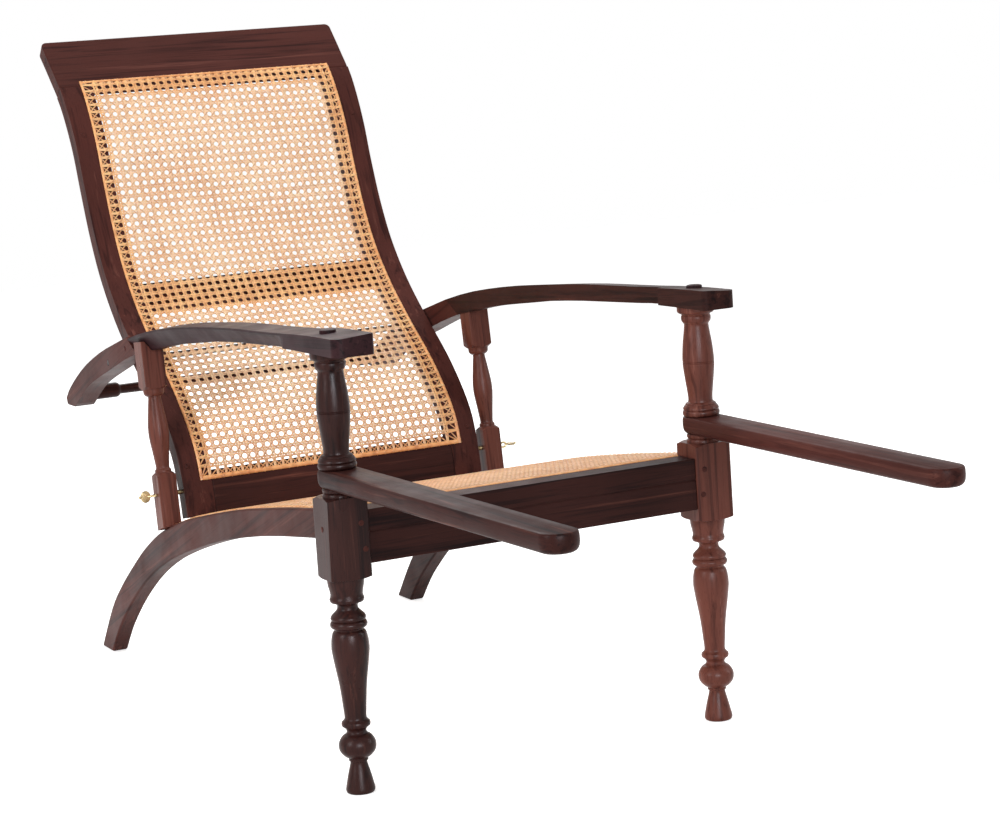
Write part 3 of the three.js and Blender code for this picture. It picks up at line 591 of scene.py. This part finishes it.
# Upper turnings, with the tenon that shows as a button on the arm
baluster = {
    "radius": 26, "foot": 435.8, "head": 589.5,
    "segments": 64, "buttonSegments": 40, "sharp": 32,
    # radius, height
    "button": [(11.05, 589.51), (11.05, 617.8), (10.45, 618.6), (8.65, 619.2)],
    "runs": [
        [(0.93, 0), (0.985, 0.011), (1, 0.031), (0.975, 0.047), (0.93, 0.053)],
        [(0.969, 0.064), (0.946, 0.079), (0.862, 0.099), (0.823, 0.103)],
        [(0.831, 0.109), (0.77, 0.12), (0.675, 0.128)],
        [(0.66, 0.151), (0.682, 0.21), (0.785, 0.353), (0.846, 0.451), (0.854, 0.482)],
        [(0.832, 0.486), (0.854, 0.490)],
        [(0.854, 0.4945)],
        [(0.832, 0.4985), (0.854, 0.5025)],
        [(0.845, 0.555), (0.792, 0.659), (0.705, 0.763), (0.66, 0.822)],
        [(0.66, 0.838), (0.69, 0.848), (0.76, 0.864), (0.8, 0.887), (0.79, 0.912), (0.762, 0.92)],
        [(0.792, 0.933)],
        [(0.94, 0.943), (1, 0.958)],
        [(1, 1)],
    ],
}


def makeBaluster():
    s = baluster
    outline = turnedOutline(s["runs"], s["radius"], s["foot"], s["head"] - s["foot"])
    return spun(outline, s["segments"])


for side in sides:
    replaced = f"front_baluster_{side}"
    shape = onFrontPost(makeBaluster(), side)
    # the near turning's darker shade is partly painted shade under the arm
    look = wood(frontLeg["shades"][side], alongZ=1, finish="turned")
    newPiece(f"arm_turning_{side}", shape, look, "frame", replaced, baluster["sharp"])
    shape = onFrontPost(spun(baluster["button"], baluster["buttonSegments"]), side)
    look = wood("black", alongZ=1)
    newPiece(f"arm_button_{side}", shape, look, "frame", replaced, baluster["sharp"])
print("upper turnings ready")

# Leg rests: a flat paddle with a crisp upper arris, a full side and a rounder lower edge
legRest = {
    "heel": 27, "toe": 25.5, "foot": 410.5, "bore": 11.4, "boreCut": 100,
    "arcSteps": 22, "boreSegments": 40, "sharp": 30,
    "reach": {"left": 603, "right": 596}, "turns": {"left": 2.1, "right": 0.2},
    "shades": {"right": "brown", "left": "dark"},
    "profile": [  # distance in from the outline, height
        (9.5, 0), (6.6, 0.5), (3.9, 1.9), (1.9, 4.1), (0.7, 7.1), (0.15, 10.6), (0, 14.2),
        (0.1, 17.8), (0.4, 20.9), (0.9, 22.9), (1.7, 24.1), (2.9, 24.7),
    ],
}


def makeLegRest(reach, turn):
    s = legRest
    shape = bmesh.new()
    rings = []
    for inset, height in s["profile"]:
        ring = []
        for centre, radius, start in ((0, s["heel"], 0), (s["toe"] - reach, s["toe"], 180)):
            for k in range(s["arcSteps"] + 1):
                angle = math.radians(start + 180 * k / s["arcSteps"])
                ring.append(shape.verts.new((
                    (radius - inset) * math.cos(angle) * mm,
                    (centre + (radius - inset) * math.sin(angle)) * mm,
                    (s["foot"] + height) * mm,
                )))
        rings.append(ring)
    for low, high in zip(rings, rings[1:]):
        for k in range(len(low)):
            shape.faces.new((low[k - 1], low[k], high[k], high[k - 1]))
    shape.faces.new(rings[0])
    shape.faces.new(rings[-1])
    hole = bmesh.new()
    bmesh.ops.create_cone(
        hole, cap_ends=True, segments=s["boreSegments"], radius1=s["bore"] * mm,
        radius2=s["bore"] * mm, depth=s["boreCut"] * mm,
        matrix=Matrix.Translation((0, 0, s["foot"] * mm)),
    )
    shape = combined(shape, hole, "DIFFERENCE")
    return moved(shape, Matrix.Rotation(math.radians(turn), 4, "Z"))


for side in sides:
    shape = makeLegRest(legRest["reach"][side], legRest["turns"][side])
    look, body = wood(legRest["shades"][side], alongY=1), f"leg_rest_{side}"
    newPiece(
        f"leg_rest_paddle_{side}", onFrontPost(shape, side), look, body, body,
        legRest["sharp"],
    )
print("leg rests ready")

# Sawn boards keep the outline of their CAD nodes; their arrises are worn round
boardSharp = 40
boards = {
    # node: arris radius, body, shade on the left and on the right, direction of the grain
    "side_rail": (3.4, "frame", ("brown", "dark"), (0, 0.92, -0.38)),
    "arm_board": (3.0, "frame", ("black", "dark"), (0, 1, -0.06)),
    "arm_tail": (3.0, "frame", ("brown", "brown"), (0, 0.92, -0.38)),
    "back_stile": (2.6, "back", ("brown", "brown"), (0, 0.42, 0.91)),
}
singleBoards = {
    "front_seat_rail": (1.4, "frame", "dark", (1, 0, 0)),
    "rear_seat_rail": (1.4, "frame", "brown", (1, 0, 0)),
    "crest_rail": (2.6, "back", "brown", (1, 0, 0)),
    "back_bottom_rail": (2.0, "back", "dark", (1, 0, 0)),
    "back_slat": (1.6, "back", "brown", (1, 0, 0)),
}


def makeBoard(name, nodeName, radius, body, shade, grain):
    shape = easedCopy(nodeName, radius)
    board = newPiece(name, shape, wood(shade, *grain), body, nodeName, boardSharp)
    normals = board.modifiers.new("flat_faces", "WEIGHTED_NORMAL")
    normals.keep_sharp = True


for node, (radius, body, shades, grain) in boards.items():
    for side, shade in zip(("left", "right"), shades):
        makeBoard(f"{node}_worn_{side}", f"{node}_{side}", radius, body, shade, grain)
for node, (radius, body, shade, grain) in singleBoards.items():
    makeBoard(f"{node}_worn", node, radius, body, shade, grain)
print("boards ready")

# Woven cane. A panel is laid out flat, across (u) by along (v), and then bent onto the line
# that the CAD panel follows: pairs of strands both ways, and diagonals over and under them.
# A path's u and v count pitches from the first pair, its third number is its height.
weave = {
    "pitch": 13.8,
    "border": 1.0,  # a path's run from the outermost pair to the line of holes
    "wideBorder": 0.8,  # past this width the diagonals run on to the next hole
    "pairHalfGap": 1.7,
    "holeHalfGap": 0.03,  # between the strands of a pair in their hole, in pitches
    "closing": 0.4,  # share of its gap that a pair has lost halfway to its hole
    "closingHeight": -0.3,
    "holeDepth": -0.9,
    "lift": 0.45,  # of one strand of a pair over another
    "diagonalLift": 0.82,
    "diagonalFlat": 0.13,  # half a diagonal's level run at a crossing, in pitches
    "diagonalBend": 0.4,  # share of the way to its hole where a diagonal dips
    "halfWidth": {"uprights": 1.45, "crossings": 1.45, "diagonals": 1.05, "counters": 1.05},
    "halfThick": 0.3,
    "section": [(-1, -1), (1, -1), (0.7, 0.6), (0, 1.05), (-0.7, 0.6)],
    "depth": 1.1,  # from the CAD panel's face to the middle of the weave
    "binder": [(-1, -1.25), (1, -1.25), (0.95, -0.4), (0.6, 0.4), (0, 0.62), (-0.6, 0.4),
               (-0.95, -0.4)],
    "stitch": [(-1.1, -1.1), (-1.03, -0.1), (-0.62, 0.75), (0, 0.95), (0.62, 0.75),
               (1.03, -0.1), (1.1, -1.1)],
    "stitchSection": [(-0.9, -0.25), (0.9, -0.25), (0.54, 0.2), (-0.54, 0.2)],
    "lineSmoothing": 4,  # times that the panel's line is evened out
    "sharp": {"strands": 60, "binder": 50},
}


# The line in y and z that a CAD panel follows, struck by rays from outside it
def profileLine(panel):
    start, axis, inset = Vector(panel["rayStart"]), panel["rayAxis"], panel["rayInset"] * mm
    ahead = -start
    low, high = (corner[axis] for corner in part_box(panel["node"]))
    low, high = low + inset, high - inset
    shape = bmesh.new()
    shape.from_mesh(nodes[panel["node"]].data)
    tree = BVHTree.FromBMesh(shape)
    hits = []
    for k in range(panel["rays"] + 1):
        start[axis] = low + (high - low) * k / panel["rays"]
        hits.append(tree.ray_cast(start, ahead)[0])
    shape.free()
    line = [Vector((hit.y, hit.z)) for hit in hits if hit]
    for _ in range(weave["lineSmoothing"]):
        line[1:-1] = [(a + b * 2 + c) / 4 for a, b, c in zip(line, line[1:], line[2:])]
    return line


# Places on a bent panel: v is measured along the line, h stands off its face
class Bend:
    def __init__(self, line):
        self.line = line
        self.lengths = [0]
        for a, b in zip(line, line[1:]):
            self.lengths.append(self.lengths[-1] + (b - a).length)

    def length(self):
        return self.lengths[-1] / mm

    def at(self, point):
        v = point.y
        k = min(max(bisect.bisect_right(self.lengths, v) - 1, 0), len(self.line) - 2)
        a, b = self.line[k], self.line[k + 1]
        t = (v - self.lengths[k]) / (self.lengths[k + 1] - self.lengths[k])
        ahead = self.tangent(k + 1).lerp(self.tangent(k + 2), t).normalized()
        out = Vector((-ahead.y, ahead.x))
        spot = a.lerp(b, t) + out * (point.z - weave["depth"] * mm)
        return Vector((point.x, spot.x, spot.y))

    def tangent(self, k):
        low, high = max(k - 2, 0), min(k + 1, len(self.line) - 1)
        return self.line[high] - self.line[low]

    # arc length at a reach
    def arcAt(self, reach):
        row = (reach + frontY) * mm
        return min(zip(self.line, self.lengths), key=lambda pair: abs(pair[0].x - row))[1] / mm


def newCurve(name, dimensions, paths):
    curve = bpy.data.curves.new(name, "CURVE")
    curve.dimensions = dimensions
    for path in paths:
        spline = curve.splines.new("POLY")
        spline.points.add(len(path) - 1)
        for point, (u, v, h) in zip(spline.points, path):
            point.co = (u * mm, v * mm, h * mm, 1)
    return curve


# Strands laid flat as poly curves with one cross-section, then bent with the panel
def strandShape(paths, outline, bend):
    section = newObject("section", newCurve("section", "2D", [[(*p, 0) for p in outline]]))
    section.data.splines[0].use_cyclic_u = True
    strands = newObject("strands", newCurve("strands", "3D", paths))
    strands.data.twist_mode = "Z_UP"
    strands.data.bevel_mode = "OBJECT"
    strands.data.bevel_object = section
    strands.data.use_fill_caps = True
    graph = bpy.context.evaluated_depsgraph_get()
    shape = bmesh.new()
    shape.from_mesh(strands.evaluated_get(graph).to_mesh())
    for item in (strands, section):
        curve = item.data
        bpy.data.objects.remove(item)
        bpy.data.curves.remove(curve)
    bmesh.ops.remove_doubles(shape, verts=shape.verts, dist=samePlace)
    for vert in shape.verts:
        vert.co = bend.at(vert.co)
    return shape


# One strand of pair i, on side -1 or 1 of the pair, over and under the pairs that it crosses
def uprightPath(i, side, count):
    gap = weave["pairHalfGap"] / weave["pitch"]
    border, deep, dip = weave["border"], weave["holeDepth"], weave["closingHeight"]
    across = i + side * gap
    closed = across - side * gap * weave["closing"]
    hole = i + side * weave["holeHalfGap"]
    path = [(hole, -border, deep), (closed, -border / 2, dip)]
    for j in range(count + 1):
        path += [(across, j + other * gap, side * other * weave["lift"]) for other in (-1, 1)]
        if j < count:
            path.append((across, j + 0.5, 0))
    return [*path, (closed, count + border / 2, dip), (hole, count + border, deep)]


def crossingPath(j, side, count):
    return [(v, u, -h) for u, v, h in uprightPath(j, side, count)]


# A diagonal runs from low u and high v to high u and low v, with u + v = k + 1/2. In a wide
# border it keeps its slope and ends one hole further on; past the last hole lies the corner.
def diagonalPath(k, nu, nv, skips):
    left, right, foot, head = skips
    d, deep, lift = weave["border"], weave["holeDepth"], weave["diagonalLift"]
    flat, bent = weave["diagonalFlat"], weave["diagonalBend"]

    def toward(mid, hole, h):
        between = tuple(a * (1 - bent) + b * bent for a, b in zip(mid, hole))
        return [(*hole, deep), (*between, h), (*mid, h)]

    if k < nv:
        hole = k + 1 + left
        path = toward((0, k + 0.5), (-d, hole if hole <= nv else nv + d), -lift)
    else:
        hole = k - nv - head
        path = toward((k + 0.5 - nv, nv), (hole if hole >= 0 else -d, nv + d), lift)
    for step in range(1, 2 * nu):
        u = step / 2
        v = k + 0.5 - u
        if 0 < v < nv:
            h = lift if step % 2 else -lift
            path += [(u - flat, v + flat, h), (u + flat, v - flat, h)]
    if k < nu:
        hole = k + 1 + foot
        path += toward((k + 0.5, 0), (hole if hole <= nu else nu + d, -d), lift)[::-1]
    else:
        hole = k - nu - right
        path += toward((nu, k + 0.5 - nu), (nu + d, hole if hole >= 0 else -d), -lift)[::-1]
    return path


def flipped(path, nu):
    return [(nu - u, v, -h if abs(h) == weave["diagonalLift"] else h) for u, v, h in path]


# Lays a path out in millimetres: each border has a width of its own, and the uprights lean
def layOut(panel, nu, nv):
    width, start, end = panel["width"], panel["start"], panel["end"]
    left, right, foot, head = panel["borders"]
    d = weave["border"]
    pitchU, pitchV = width / (nu + left + right), (end - start) / (nv + foot + head)

    # distance from the first line of holes, in pitches
    def spread(t, count, first, last):
        if t < 0:
            return first + t * first / d
        return first + min(t, count) + max(t - count, 0) * last / d

    def laid(path):
        points = []
        for u, v, h in path:
            inside = min(max(min(u + d, nu + d - u) / d, 0), 1)
            across = spread(u, nu, left, right) + panel["lean"] * inside * (v / nv - 0.5)
            spot = (across * pitchU - width / 2, start + spread(v, nv, foot, head) * pitchV, h)
            points.append(panel["tie"](*spot) if "tie" in panel else spot)
        return points

    return laid


# Loops of cane that hold the binder down, one at each hole
def stitchPaths(binder):
    stitches = []
    for run, wide in binder:
        (u0, v0), (u1, v1) = run[0], run[-1]
        long = math.hypot(u1 - u0, v1 - v0)
        count = round(long / weave["pitch"])
        ahead = ((u1 - u0) / long, (v1 - v0) / long)
        for k in range(count):
            t = (k + 0.5) / count
            u, v = u0 + (u1 - u0) * t, v0 + (v1 - v0) * t
            stitches.append([
                (u - ahead[1] * across * wide, v + ahead[0] * across * wide, h)
                for across, h in weave["stitch"]
            ])
    return stitches


def caneWeave(panel, bend):
    name, body, node = panel["name"], panel["body"], panel["node"]
    left, right, foot, head = panel["borders"]
    nu = round(panel["width"] / weave["pitch"] - left - right)
    nv = round((panel["end"] - panel["start"]) / weave["pitch"] - foot - head)
    laid = layOut(panel, nu, nv)
    skips = [int(border > weave["wideBorder"]) for border in panel["borders"]]
    swapped = [skips[1], skips[0], *skips[2:]]
    families = {
        "uprights": [uprightPath(i, s, nv) for i in range(nu + 1) for s in (-1, 1)],
        "crossings": [crossingPath(j, s, nu) for j in range(nv + 1) for s in (-1, 1)],
        "diagonals": [diagonalPath(k, nu, nv, skips) for k in range(nu + nv)],
        "counters": [flipped(diagonalPath(k, nu, nv, swapped), nu) for k in range(nu + nv)],
    }
    sharp = weave["sharp"]["strands"]
    for family, paths in families.items():
        half, thick = weave["halfWidth"][family], weave["halfThick"]
        outline = [(x * half, y * thick) for x, y in weave["section"]]
        shape = strandShape([laid(path) for path in paths], outline, bend)
        look = caneStrands[name][family]
        newPiece(f"{name}_{family}", shape, look, body, node, sharp)
    sharp, binders = weave["sharp"]["binder"], []
    for run, wide in panel["binder"]:
        outline = [(x * wide, h) for x, h in weave["binder"]]
        binders.append(strandShape([[(*spot, 0) for spot in run]], outline, bend))
    newPiece(f"{name}_binder", join(*binders), caneBinder, body, node, sharp)
    stitches = strandShape(stitchPaths(panel["binder"]), weave["stitchSection"], bend)
    newPiece(f"{name}_stitches", stitches, caneBinder, body, node, sharp)
    print(name, nu + 1, "pairs by", nv + 1)


def straight(a, b, step=7):
    count = max(round(math.hypot(b[0] - a[0], b[1] - a[1]) / step), 1)
    return [
        (a[0] + (b[0] - a[0]) * k / count, a[1] + (b[1] - a[1]) * k / count)
        for k in range(count + 1)
    ]


# Borders are left, right, foot and head, in pitches. The binders' ends lie at binderEnds from
# the foot and the head, and at binderInsets from the left and the right.
backPanel = {
    "name": "back_weave", "body": "back", "node": "back_cane",
    "width": 444, "edge": 7.5, "borders": (1.35, 1.25, 1.35, 0.55), "lean": 0.51,
    "rayStart": (0, -1, 0), "rayAxis": 2, "rays": 240, "rayInset": 1,
    "binderWidths": (2.3, 2.6, 3.3, 2.1), "binderEnds": (-3, 2), "binderInsets": (2, 2.4),
}


def makeBackWeave():
    s = backPanel
    bend = Bend(profileLine(s))
    s["start"], s["end"] = s["edge"], bend.length() - s["edge"]
    x, foot, head = s["width"] / 2, s["start"], s["end"]
    (below, above), (left, right) = s["binderEnds"], s["binderInsets"]
    runs = (
        straight((-x, foot + below), (-x, head + above)),
        straight((x, foot + below), (x, head + above)),
        straight((-x + left, foot), (x - right, foot)),
        straight((-x + left, head), (x - right, head)),
    )
    s["binder"] = list(zip(runs, s["binderWidths"]))
    caneWeave(s, bend)


seatPanel = {
    "name": "seat_weave", "body": "frame", "node": "seat_cane",
    "width": 546, "edge": 6, "borders": (1.1, 1.1, 1.1, 1.1), "lean": 0,
    "rayStart": (0, 0, 1), "rayAxis": 1, "rays": 260, "rayInset": 0.6,
    "blockX": 249, "blockReach": 29, "blockSlack": 4, "postX": 262, "postReach": (672, 708),
    "binderWidth": 3.4, "frontInset": 5, "rearInset": 6, "sideInset": 1,
}


# The seat's strands stop at the front blocks and at the rear posts
def makeSeatWeave():
    s = seatPanel
    bend = Bend(profileLine(s))
    s["start"], s["end"] = s["edge"], bend.length() - s["edge"]
    blockArc = bend.arcAt(s["blockReach"])
    postArcs = [bend.arcAt(reach) for reach in s["postReach"]]

    def tie(u, v, h):
        if abs(u) > s["blockX"] - s["blockSlack"] and v < blockArc:
            v = blockArc
        if abs(u) > s["postX"] and postArcs[0] < v < postArcs[1]:
            u = math.copysign(s["postX"], u)
        return u, v, h

    s["tie"] = tie
    x, front, rear = s["width"] / 2, s["blockX"] - s["frontInset"], s["postX"] - s["rearInset"]
    low, high = blockArc + s["sideInset"], postArcs[0] - s["sideInset"]
    runs = (
        straight((-front, s["start"]), (front, s["start"])),
        straight((-rear, s["end"]), (rear, s["end"])),
        straight((-x, low), (-x, high)),
        straight((x, low), (x, high)),
    )
    s["binder"] = [(run, s["binderWidth"]) for run in runs]
    caneWeave(s, bend)


makeBackWeave()
makeSeatWeave()
print("cane ready")

# Rear posts: square block, turned stem, square block, all raked back about the pin
rearPost = {
    "sideways": 2, "pinReach": 691, "pinHeight": 307.67, "rake": 6.8,
    "lower": {"width": 30, "foot": 215, "head": 341.67, "footRise": 0, "headRise": 6,
              "shoulder": 13.5, "chamfer": 1.2},
    "upper": {"width": 35, "foot": 471, "head": 545, "footRise": 6, "headRise": 0,
              "shoulder": 17.5, "chamfer": 1.2},
    "belly": 15.75, "overrun": 8, "segments": 56, "sharp": 32,
    "grain": (0, 0.12, 1),
    # boards that the post meets, and how much wider the copy is that cuts it
    "cutters": {"side_rail_right": 2.6, "arm_board_right": 1.2, "arm_tail_right": 1.4},
    "runs": [
        [(0.80, 0), (0.80, 0.03)],
        [(0.686, 0.045)],
        [(0.667, 0.076), (0.8, 0.227), (0.965, 0.394), (1, 0.477), (0.965, 0.576),
         (0.775, 0.758), (0.622, 0.886)],
        [(0.622, 0.909)],
        [(0.857, 0.924), (0.99, 0.947), (1.016, 0.97), (1.048, 1)],
    ],
}


# Copy of a board made wider about its own middle, to cut what stands on it to its outline
def cutter(nodeName, factor):
    shape = easedCopy(nodeName, 0)
    low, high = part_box(nodeName)
    middle = (low.x + high.x) / 2
    for vert in shape.verts:
        vert.co.x = middle + (vert.co.x - middle) * factor
    return shape


def makeRearPost():
    s = rearPost
    low, high = s["lower"]["head"], s["upper"]["foot"]
    outline = turnedOutline(s["runs"], s["belly"], low, high - low)
    below, above = (outline[0][0], low - s["overrun"]), (outline[-1][0], high + s["overrun"])
    stem = spun([below, *outline, above], s["segments"])
    post = combined(squareBlock(**s["lower"]), stem, "UNION")
    post = combined(post, squareBlock(**s["upper"]), "UNION")
    moved(post, Matrix.Translation((0, 0, -s["pinHeight"] * mm)))
    moved(post, Matrix.Rotation(-math.radians(s["rake"]), 4, "X"))
    moved(post, Matrix.Translation(place(postX + s["sideways"], s["pinReach"], s["pinHeight"])))
    for board, factor in s["cutters"].items():
        post = combined(post, cutter(board, factor), "DIFFERENCE")
    return post


rightPost = makeRearPost()
for side, shape in (("right", rightPost), ("left", mirroredX(rightPost))):
    newPiece(
        f"rear_post_turned_{side}", shape, wood("red", *rearPost["grain"], "turned"), "frame",
        f"rear_post_{side}", rearPost["sharp"],
    )
print("rear posts ready")

# Rods between the arm tails: the lower one thick at its ends, the upper one plain
rods = {
    "segments": 40, "sharp": 30,
    # distance from the middle, radius
    "halves": {
        "lower": [(0, 8.8), (120, 8.6), (214, 8), (214.6, 8.3), (216.5, 10.4), (219.5, 12.2),
                  (222, 12.5), (257.5, 12.5), (259, 12.2), (259.5, 10.9), (259.6, 6), (277, 6)],
        "upper": [(0, 5), (292.4, 5), (293, 4.6)],
    },
}


def makeRod(half):
    outline = [(radius, -x) for x, radius in half[:0:-1]] + [(radius, x) for x, radius in half]
    return lyingAlongX(spun(outline, rods["segments"]))


for name, half in rods["halves"].items():
    low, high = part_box(f"{name}_rod")
    middle = Matrix.Translation((0, (low.y + high.y) / 2, (low.z + high.z) / 2))
    newPiece(
        f"{name}_rod_turned", moved(makeRod(half), middle), wood("dark", 1, 0, 0, "turned"),
        "frame", f"{name}_rod", rods["sharp"],
    )
print("rods ready")

# Brass pins: a shank, a flattened eye, a thin neck, a leaf and a bud
pin = {
    "tip": 231.7, "shank": 3.55, "shankSegments": 32,
    "tipRun": [(0.9, 1), (2.4, 2.6), (3.55, 6)],  # radius, distance from the tip
    # share of the shank's radius, distance from its end
    "collar": [(1, 7), (1.32, 6.4), (1.32, 4.6), (1, 4), (0.8, 1.2), (0.6, 0)],
    "eyeLong": 6.8, "eyeHigh": 5.6, "eyeWire": 1.6, "eyeLap": 1.4, "gap": 0.4,
    "wireSegments": 16, "eyeSegments": 40,
    "leafHigh": 9.4, "leafThick": 2.6, "leafEdge": 0.85, "leafSegments": 40,
    # radius and place of the stem: from the eye's end, from the leaf's middle and its end,
    # and from the bud's middle
    "neck": [(1.6, -1.4), (1.9, -0.4)],
    "leafStem": [(1.5, -1, 0), (1.7, 0, -3), (1.2, 0, 0), (1.2, 1, -1.6)],
    "bud": [(1.5, -1.9), (2.0, -1.1), (2.2, 0), (1.9, 1.1), (1.3, 1.85), (0.5, 2.2)],
    "budRadius": 2.2, "stemSegments": 24, "sharp": 40,
    # side: turn about the shank, length of the leaf, how much deeper the pin is pushed in
    "sides": {"right": (0, 6.4, 0), "left": (90, 8.0, 3.5)},
}
pinLow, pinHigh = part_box("brass_pin_right")
pinReach, pinHeight = (pinLow.y + pinHigh.y) / 2, (pinLow.z + pinHigh.z) / 2
pinEnd = pinHigh.x / mm


def makeEye(eyePlace):
    s = pin
    eye = bmesh.new()
    ring = bmesh.ops.create_circle(
        eye, segments=s["wireSegments"], radius=s["eyeWire"] * mm,
        matrix=Matrix.Translation(((s["eyeHigh"] - s["eyeWire"]) * mm, 0, 0))
        @ Matrix.Rotation(quarterTurn, 4, "X"),
    )
    bmesh.ops.spin(
        eye, geom=ring["verts"] + eye.edges[:], cent=(0, 0, 0), axis=(0, 0, 1),
        angle=2 * math.pi, steps=s["eyeSegments"], use_merge=True,
    )
    bmesh.ops.remove_doubles(eye, verts=eye.verts, dist=samePlace)
    bmesh.ops.scale(eye, vec=(s["eyeLong"] / s["eyeHigh"], 1, 1), verts=eye.verts)
    moved(eye, Matrix.Rotation(quarterTurn, 4, "X"))
    return moved(eye, Matrix.Translation((eyePlace * mm, 0, 0)))


def makeLeaf(leafPlace, leafLong):
    s = pin
    leaf = bmesh.new()
    bmesh.ops.create_cone(
        leaf, cap_ends=True, segments=s["leafSegments"], radius1=leafLong * mm,
        radius2=leafLong * mm, depth=s["leafThick"] * mm,
    )
    rims = [e for e in leaf.edges if abs(e.verts[0].co.z - e.verts[1].co.z) < samePlace]
    rounded(leaf, rims, s["leafEdge"], 4)
    bmesh.ops.scale(leaf, vec=(1, s["leafHigh"] / leafLong, 1), verts=leaf.verts)
    return moved(leaf, Matrix.Translation((leafPlace * mm, 0, 0)))


def makePin(turn, leafLong, deeper):
    s = pin
    budPlace = pinEnd - s["budRadius"] - deeper
    leafPlace = budPlace - s["budRadius"] / 2 - leafLong
    eyePlace = leafPlace - leafLong - s["gap"] - s["eyeLong"]
    eyeEnd = eyePlace + s["eyeLong"]
    shankEnd = eyePlace - s["eyeLong"] + s["eyeWire"] * s["eyeLap"]
    tip = [(radius, s["tip"] + along) for radius, along in s["tipRun"]]
    collar = [(s["shank"] * share, shankEnd - back) for share, back in s["collar"]]
    shank = lyingAlongX(spun(tip + collar, s["shankSegments"]))
    stem = spun(
        [(radius, eyeEnd + along) for radius, along in s["neck"]]
        + [(radius, leafPlace + end * leafLong + along) for radius, end, along in s["leafStem"]]
        + [(radius, budPlace + along) for radius, along in s["bud"]],
        s["stemSegments"],
    )
    whole = join(shank, makeEye(eyePlace), makeLeaf(leafPlace, leafLong), lyingAlongX(stem))
    moved(whole, Matrix.Rotation(math.radians(turn), 4, "X"))
    return moved(whole, Matrix.Translation((0, pinReach, pinHeight)))


for side, (turn, leafLong, deeper) in pin["sides"].items():
    shape = makePin(turn, leafLong, deeper)
    if side == "left":
        mirrored = mirroredX(shape)
        shape.free()
        shape = mirrored
    newPiece(
        f"pin_cast_{side}", shape, agedBrass, f"pin_{side}", f"brass_pin_{side}",
        pin["sharp"],
    )
print("pins ready")

# Pegs: short dowels, their ends planed almost flush and a little crowned
peg = {"arris": 0.35, "angle": 50, "segments": 2, "sharp": 50}
for node in sorted(name for name in nodes if "_peg" in name):
    body = "back" if node.startswith("stile") else "frame"
    shape = easedCopy(node, peg["arris"], peg["angle"], peg["segments"])
    newPiece(
        f"{node}_planed", shape, wood("brown", 0, 1, 0), body, node, peg["sharp"],
    )
print("pegs ready")

# Studio: a white floor that keeps the chair's shadow, white behind it all, soft lamps. Its
# lengths are metres.
studio = {
    "background": 1.0, "ambient": 0.42, "aim": (0, 0, 0.45),
    "lamps": {
        # name: position, size, power, colour
        "key": ((-3.7, -1.2, 2.0), (0.8, 1.9), 105, (0.97, 0.98, 1)),
        "fill": ((3.4, -1.4, 1.7), (0.6, 1.7), 36, (0.97, 0.985, 1)),
        "top": ((0.2, 0.2, 3.5), (2.6, 2.6), 55, (1, 0.99, 0.97)),
        "rim": ((0.6, 3.4, 2.2), (2.2, 2.2), 40, (1, 1, 1)),
        "sheen": ((-0.9, -3.6, 1.25), (1.2, 1.3), 150, (0.92, 0.94, 1)),
    },
    "floor": {"size": 14, "drop": 0.0005, "glow": 0.62},
    "floorSurface": {
        "Base Color": (0.90, 0.90, 0.90, 1), "Roughness": 0.85, "Specular IOR Level": 0.1,
    },
}


def cameraSees(tree):
    path = nodeIn(tree, "ShaderNodeLightPath")
    seen = path.outputs["Is Camera Ray"]
    for name in ("Is Glossy Ray", "Is Transmission Ray"):
        seen = maximum(tree, seen, path.outputs[name])
    return seen


# What the camera, a reflection or a clear piece sees, and what lights the chair
def chosen(tree, unseen, seen, output):
    shaders = {0: cameraSees(tree), 1: unseen.outputs[0], 2: seen.outputs[0]}
    choice = nodeIn(tree, "ShaderNodeMixShader", shaders)
    fill(tree.nodes[output], {0: choice.outputs[0]})


def makeWorld():
    world = bpy.data.worlds.new("studio")
    bpy.context.scene.world = world
    world.use_nodes = True
    tree = world.node_tree
    ambient, white = tree.nodes["Background"], nodeIn(tree, "ShaderNodeBackground")
    fill(ambient, {"Color": (1, 1, 1, 1), "Strength": studio["ambient"]})
    fill(white, {"Color": (1, 1, 1, 1), "Strength": studio["background"]})
    chosen(tree, ambient, white, "World Output")


def makeLamps():
    for name, (position, size, power, colour) in studio["lamps"].items():
        lamp = bpy.data.lights.new(name, "AREA")
        lamp.shape = "RECTANGLE"
        lamp.size, lamp.size_y = size
        lamp.energy = power
        lamp.color = colour
        holder = newObject(name, lamp)
        holder.location = position
        holder.visible_glossy = name != "top"
        holder.visible_diffuse = name != "sheen"
        aim = Vector(studio["aim"]) - Vector(position)
        holder.rotation_euler = aim.to_track_quat("-Z", "Y").to_euler()


def makeFloor():
    s = studio["floor"]
    floor = bmesh.new()
    bmesh.ops.create_grid(floor, x_segments=2, y_segments=2, size=s["size"] / 2)
    bmesh.ops.translate(floor, vec=(0, 0, -s["drop"]), verts=floor.verts)
    ground = newObject("floor", meshOf("floor", floor))
    material, tree, shader = newMaterial("pale_floor")
    fill(shader, studio["floorSurface"])
    glow = nodeIn(tree, "ShaderNodeEmission", {"Color": (1, 1, 1, 1), "Strength": s["glow"]})
    lit = nodeIn(tree, "ShaderNodeAddShader", {0: shader.outputs[0], 1: glow.outputs[0]})
    chosen(tree, shader, lit, "Material Output")
    ground.data.materials.append(material)


makeWorld()
makeLamps()
makeFloor()
print("studio ready")
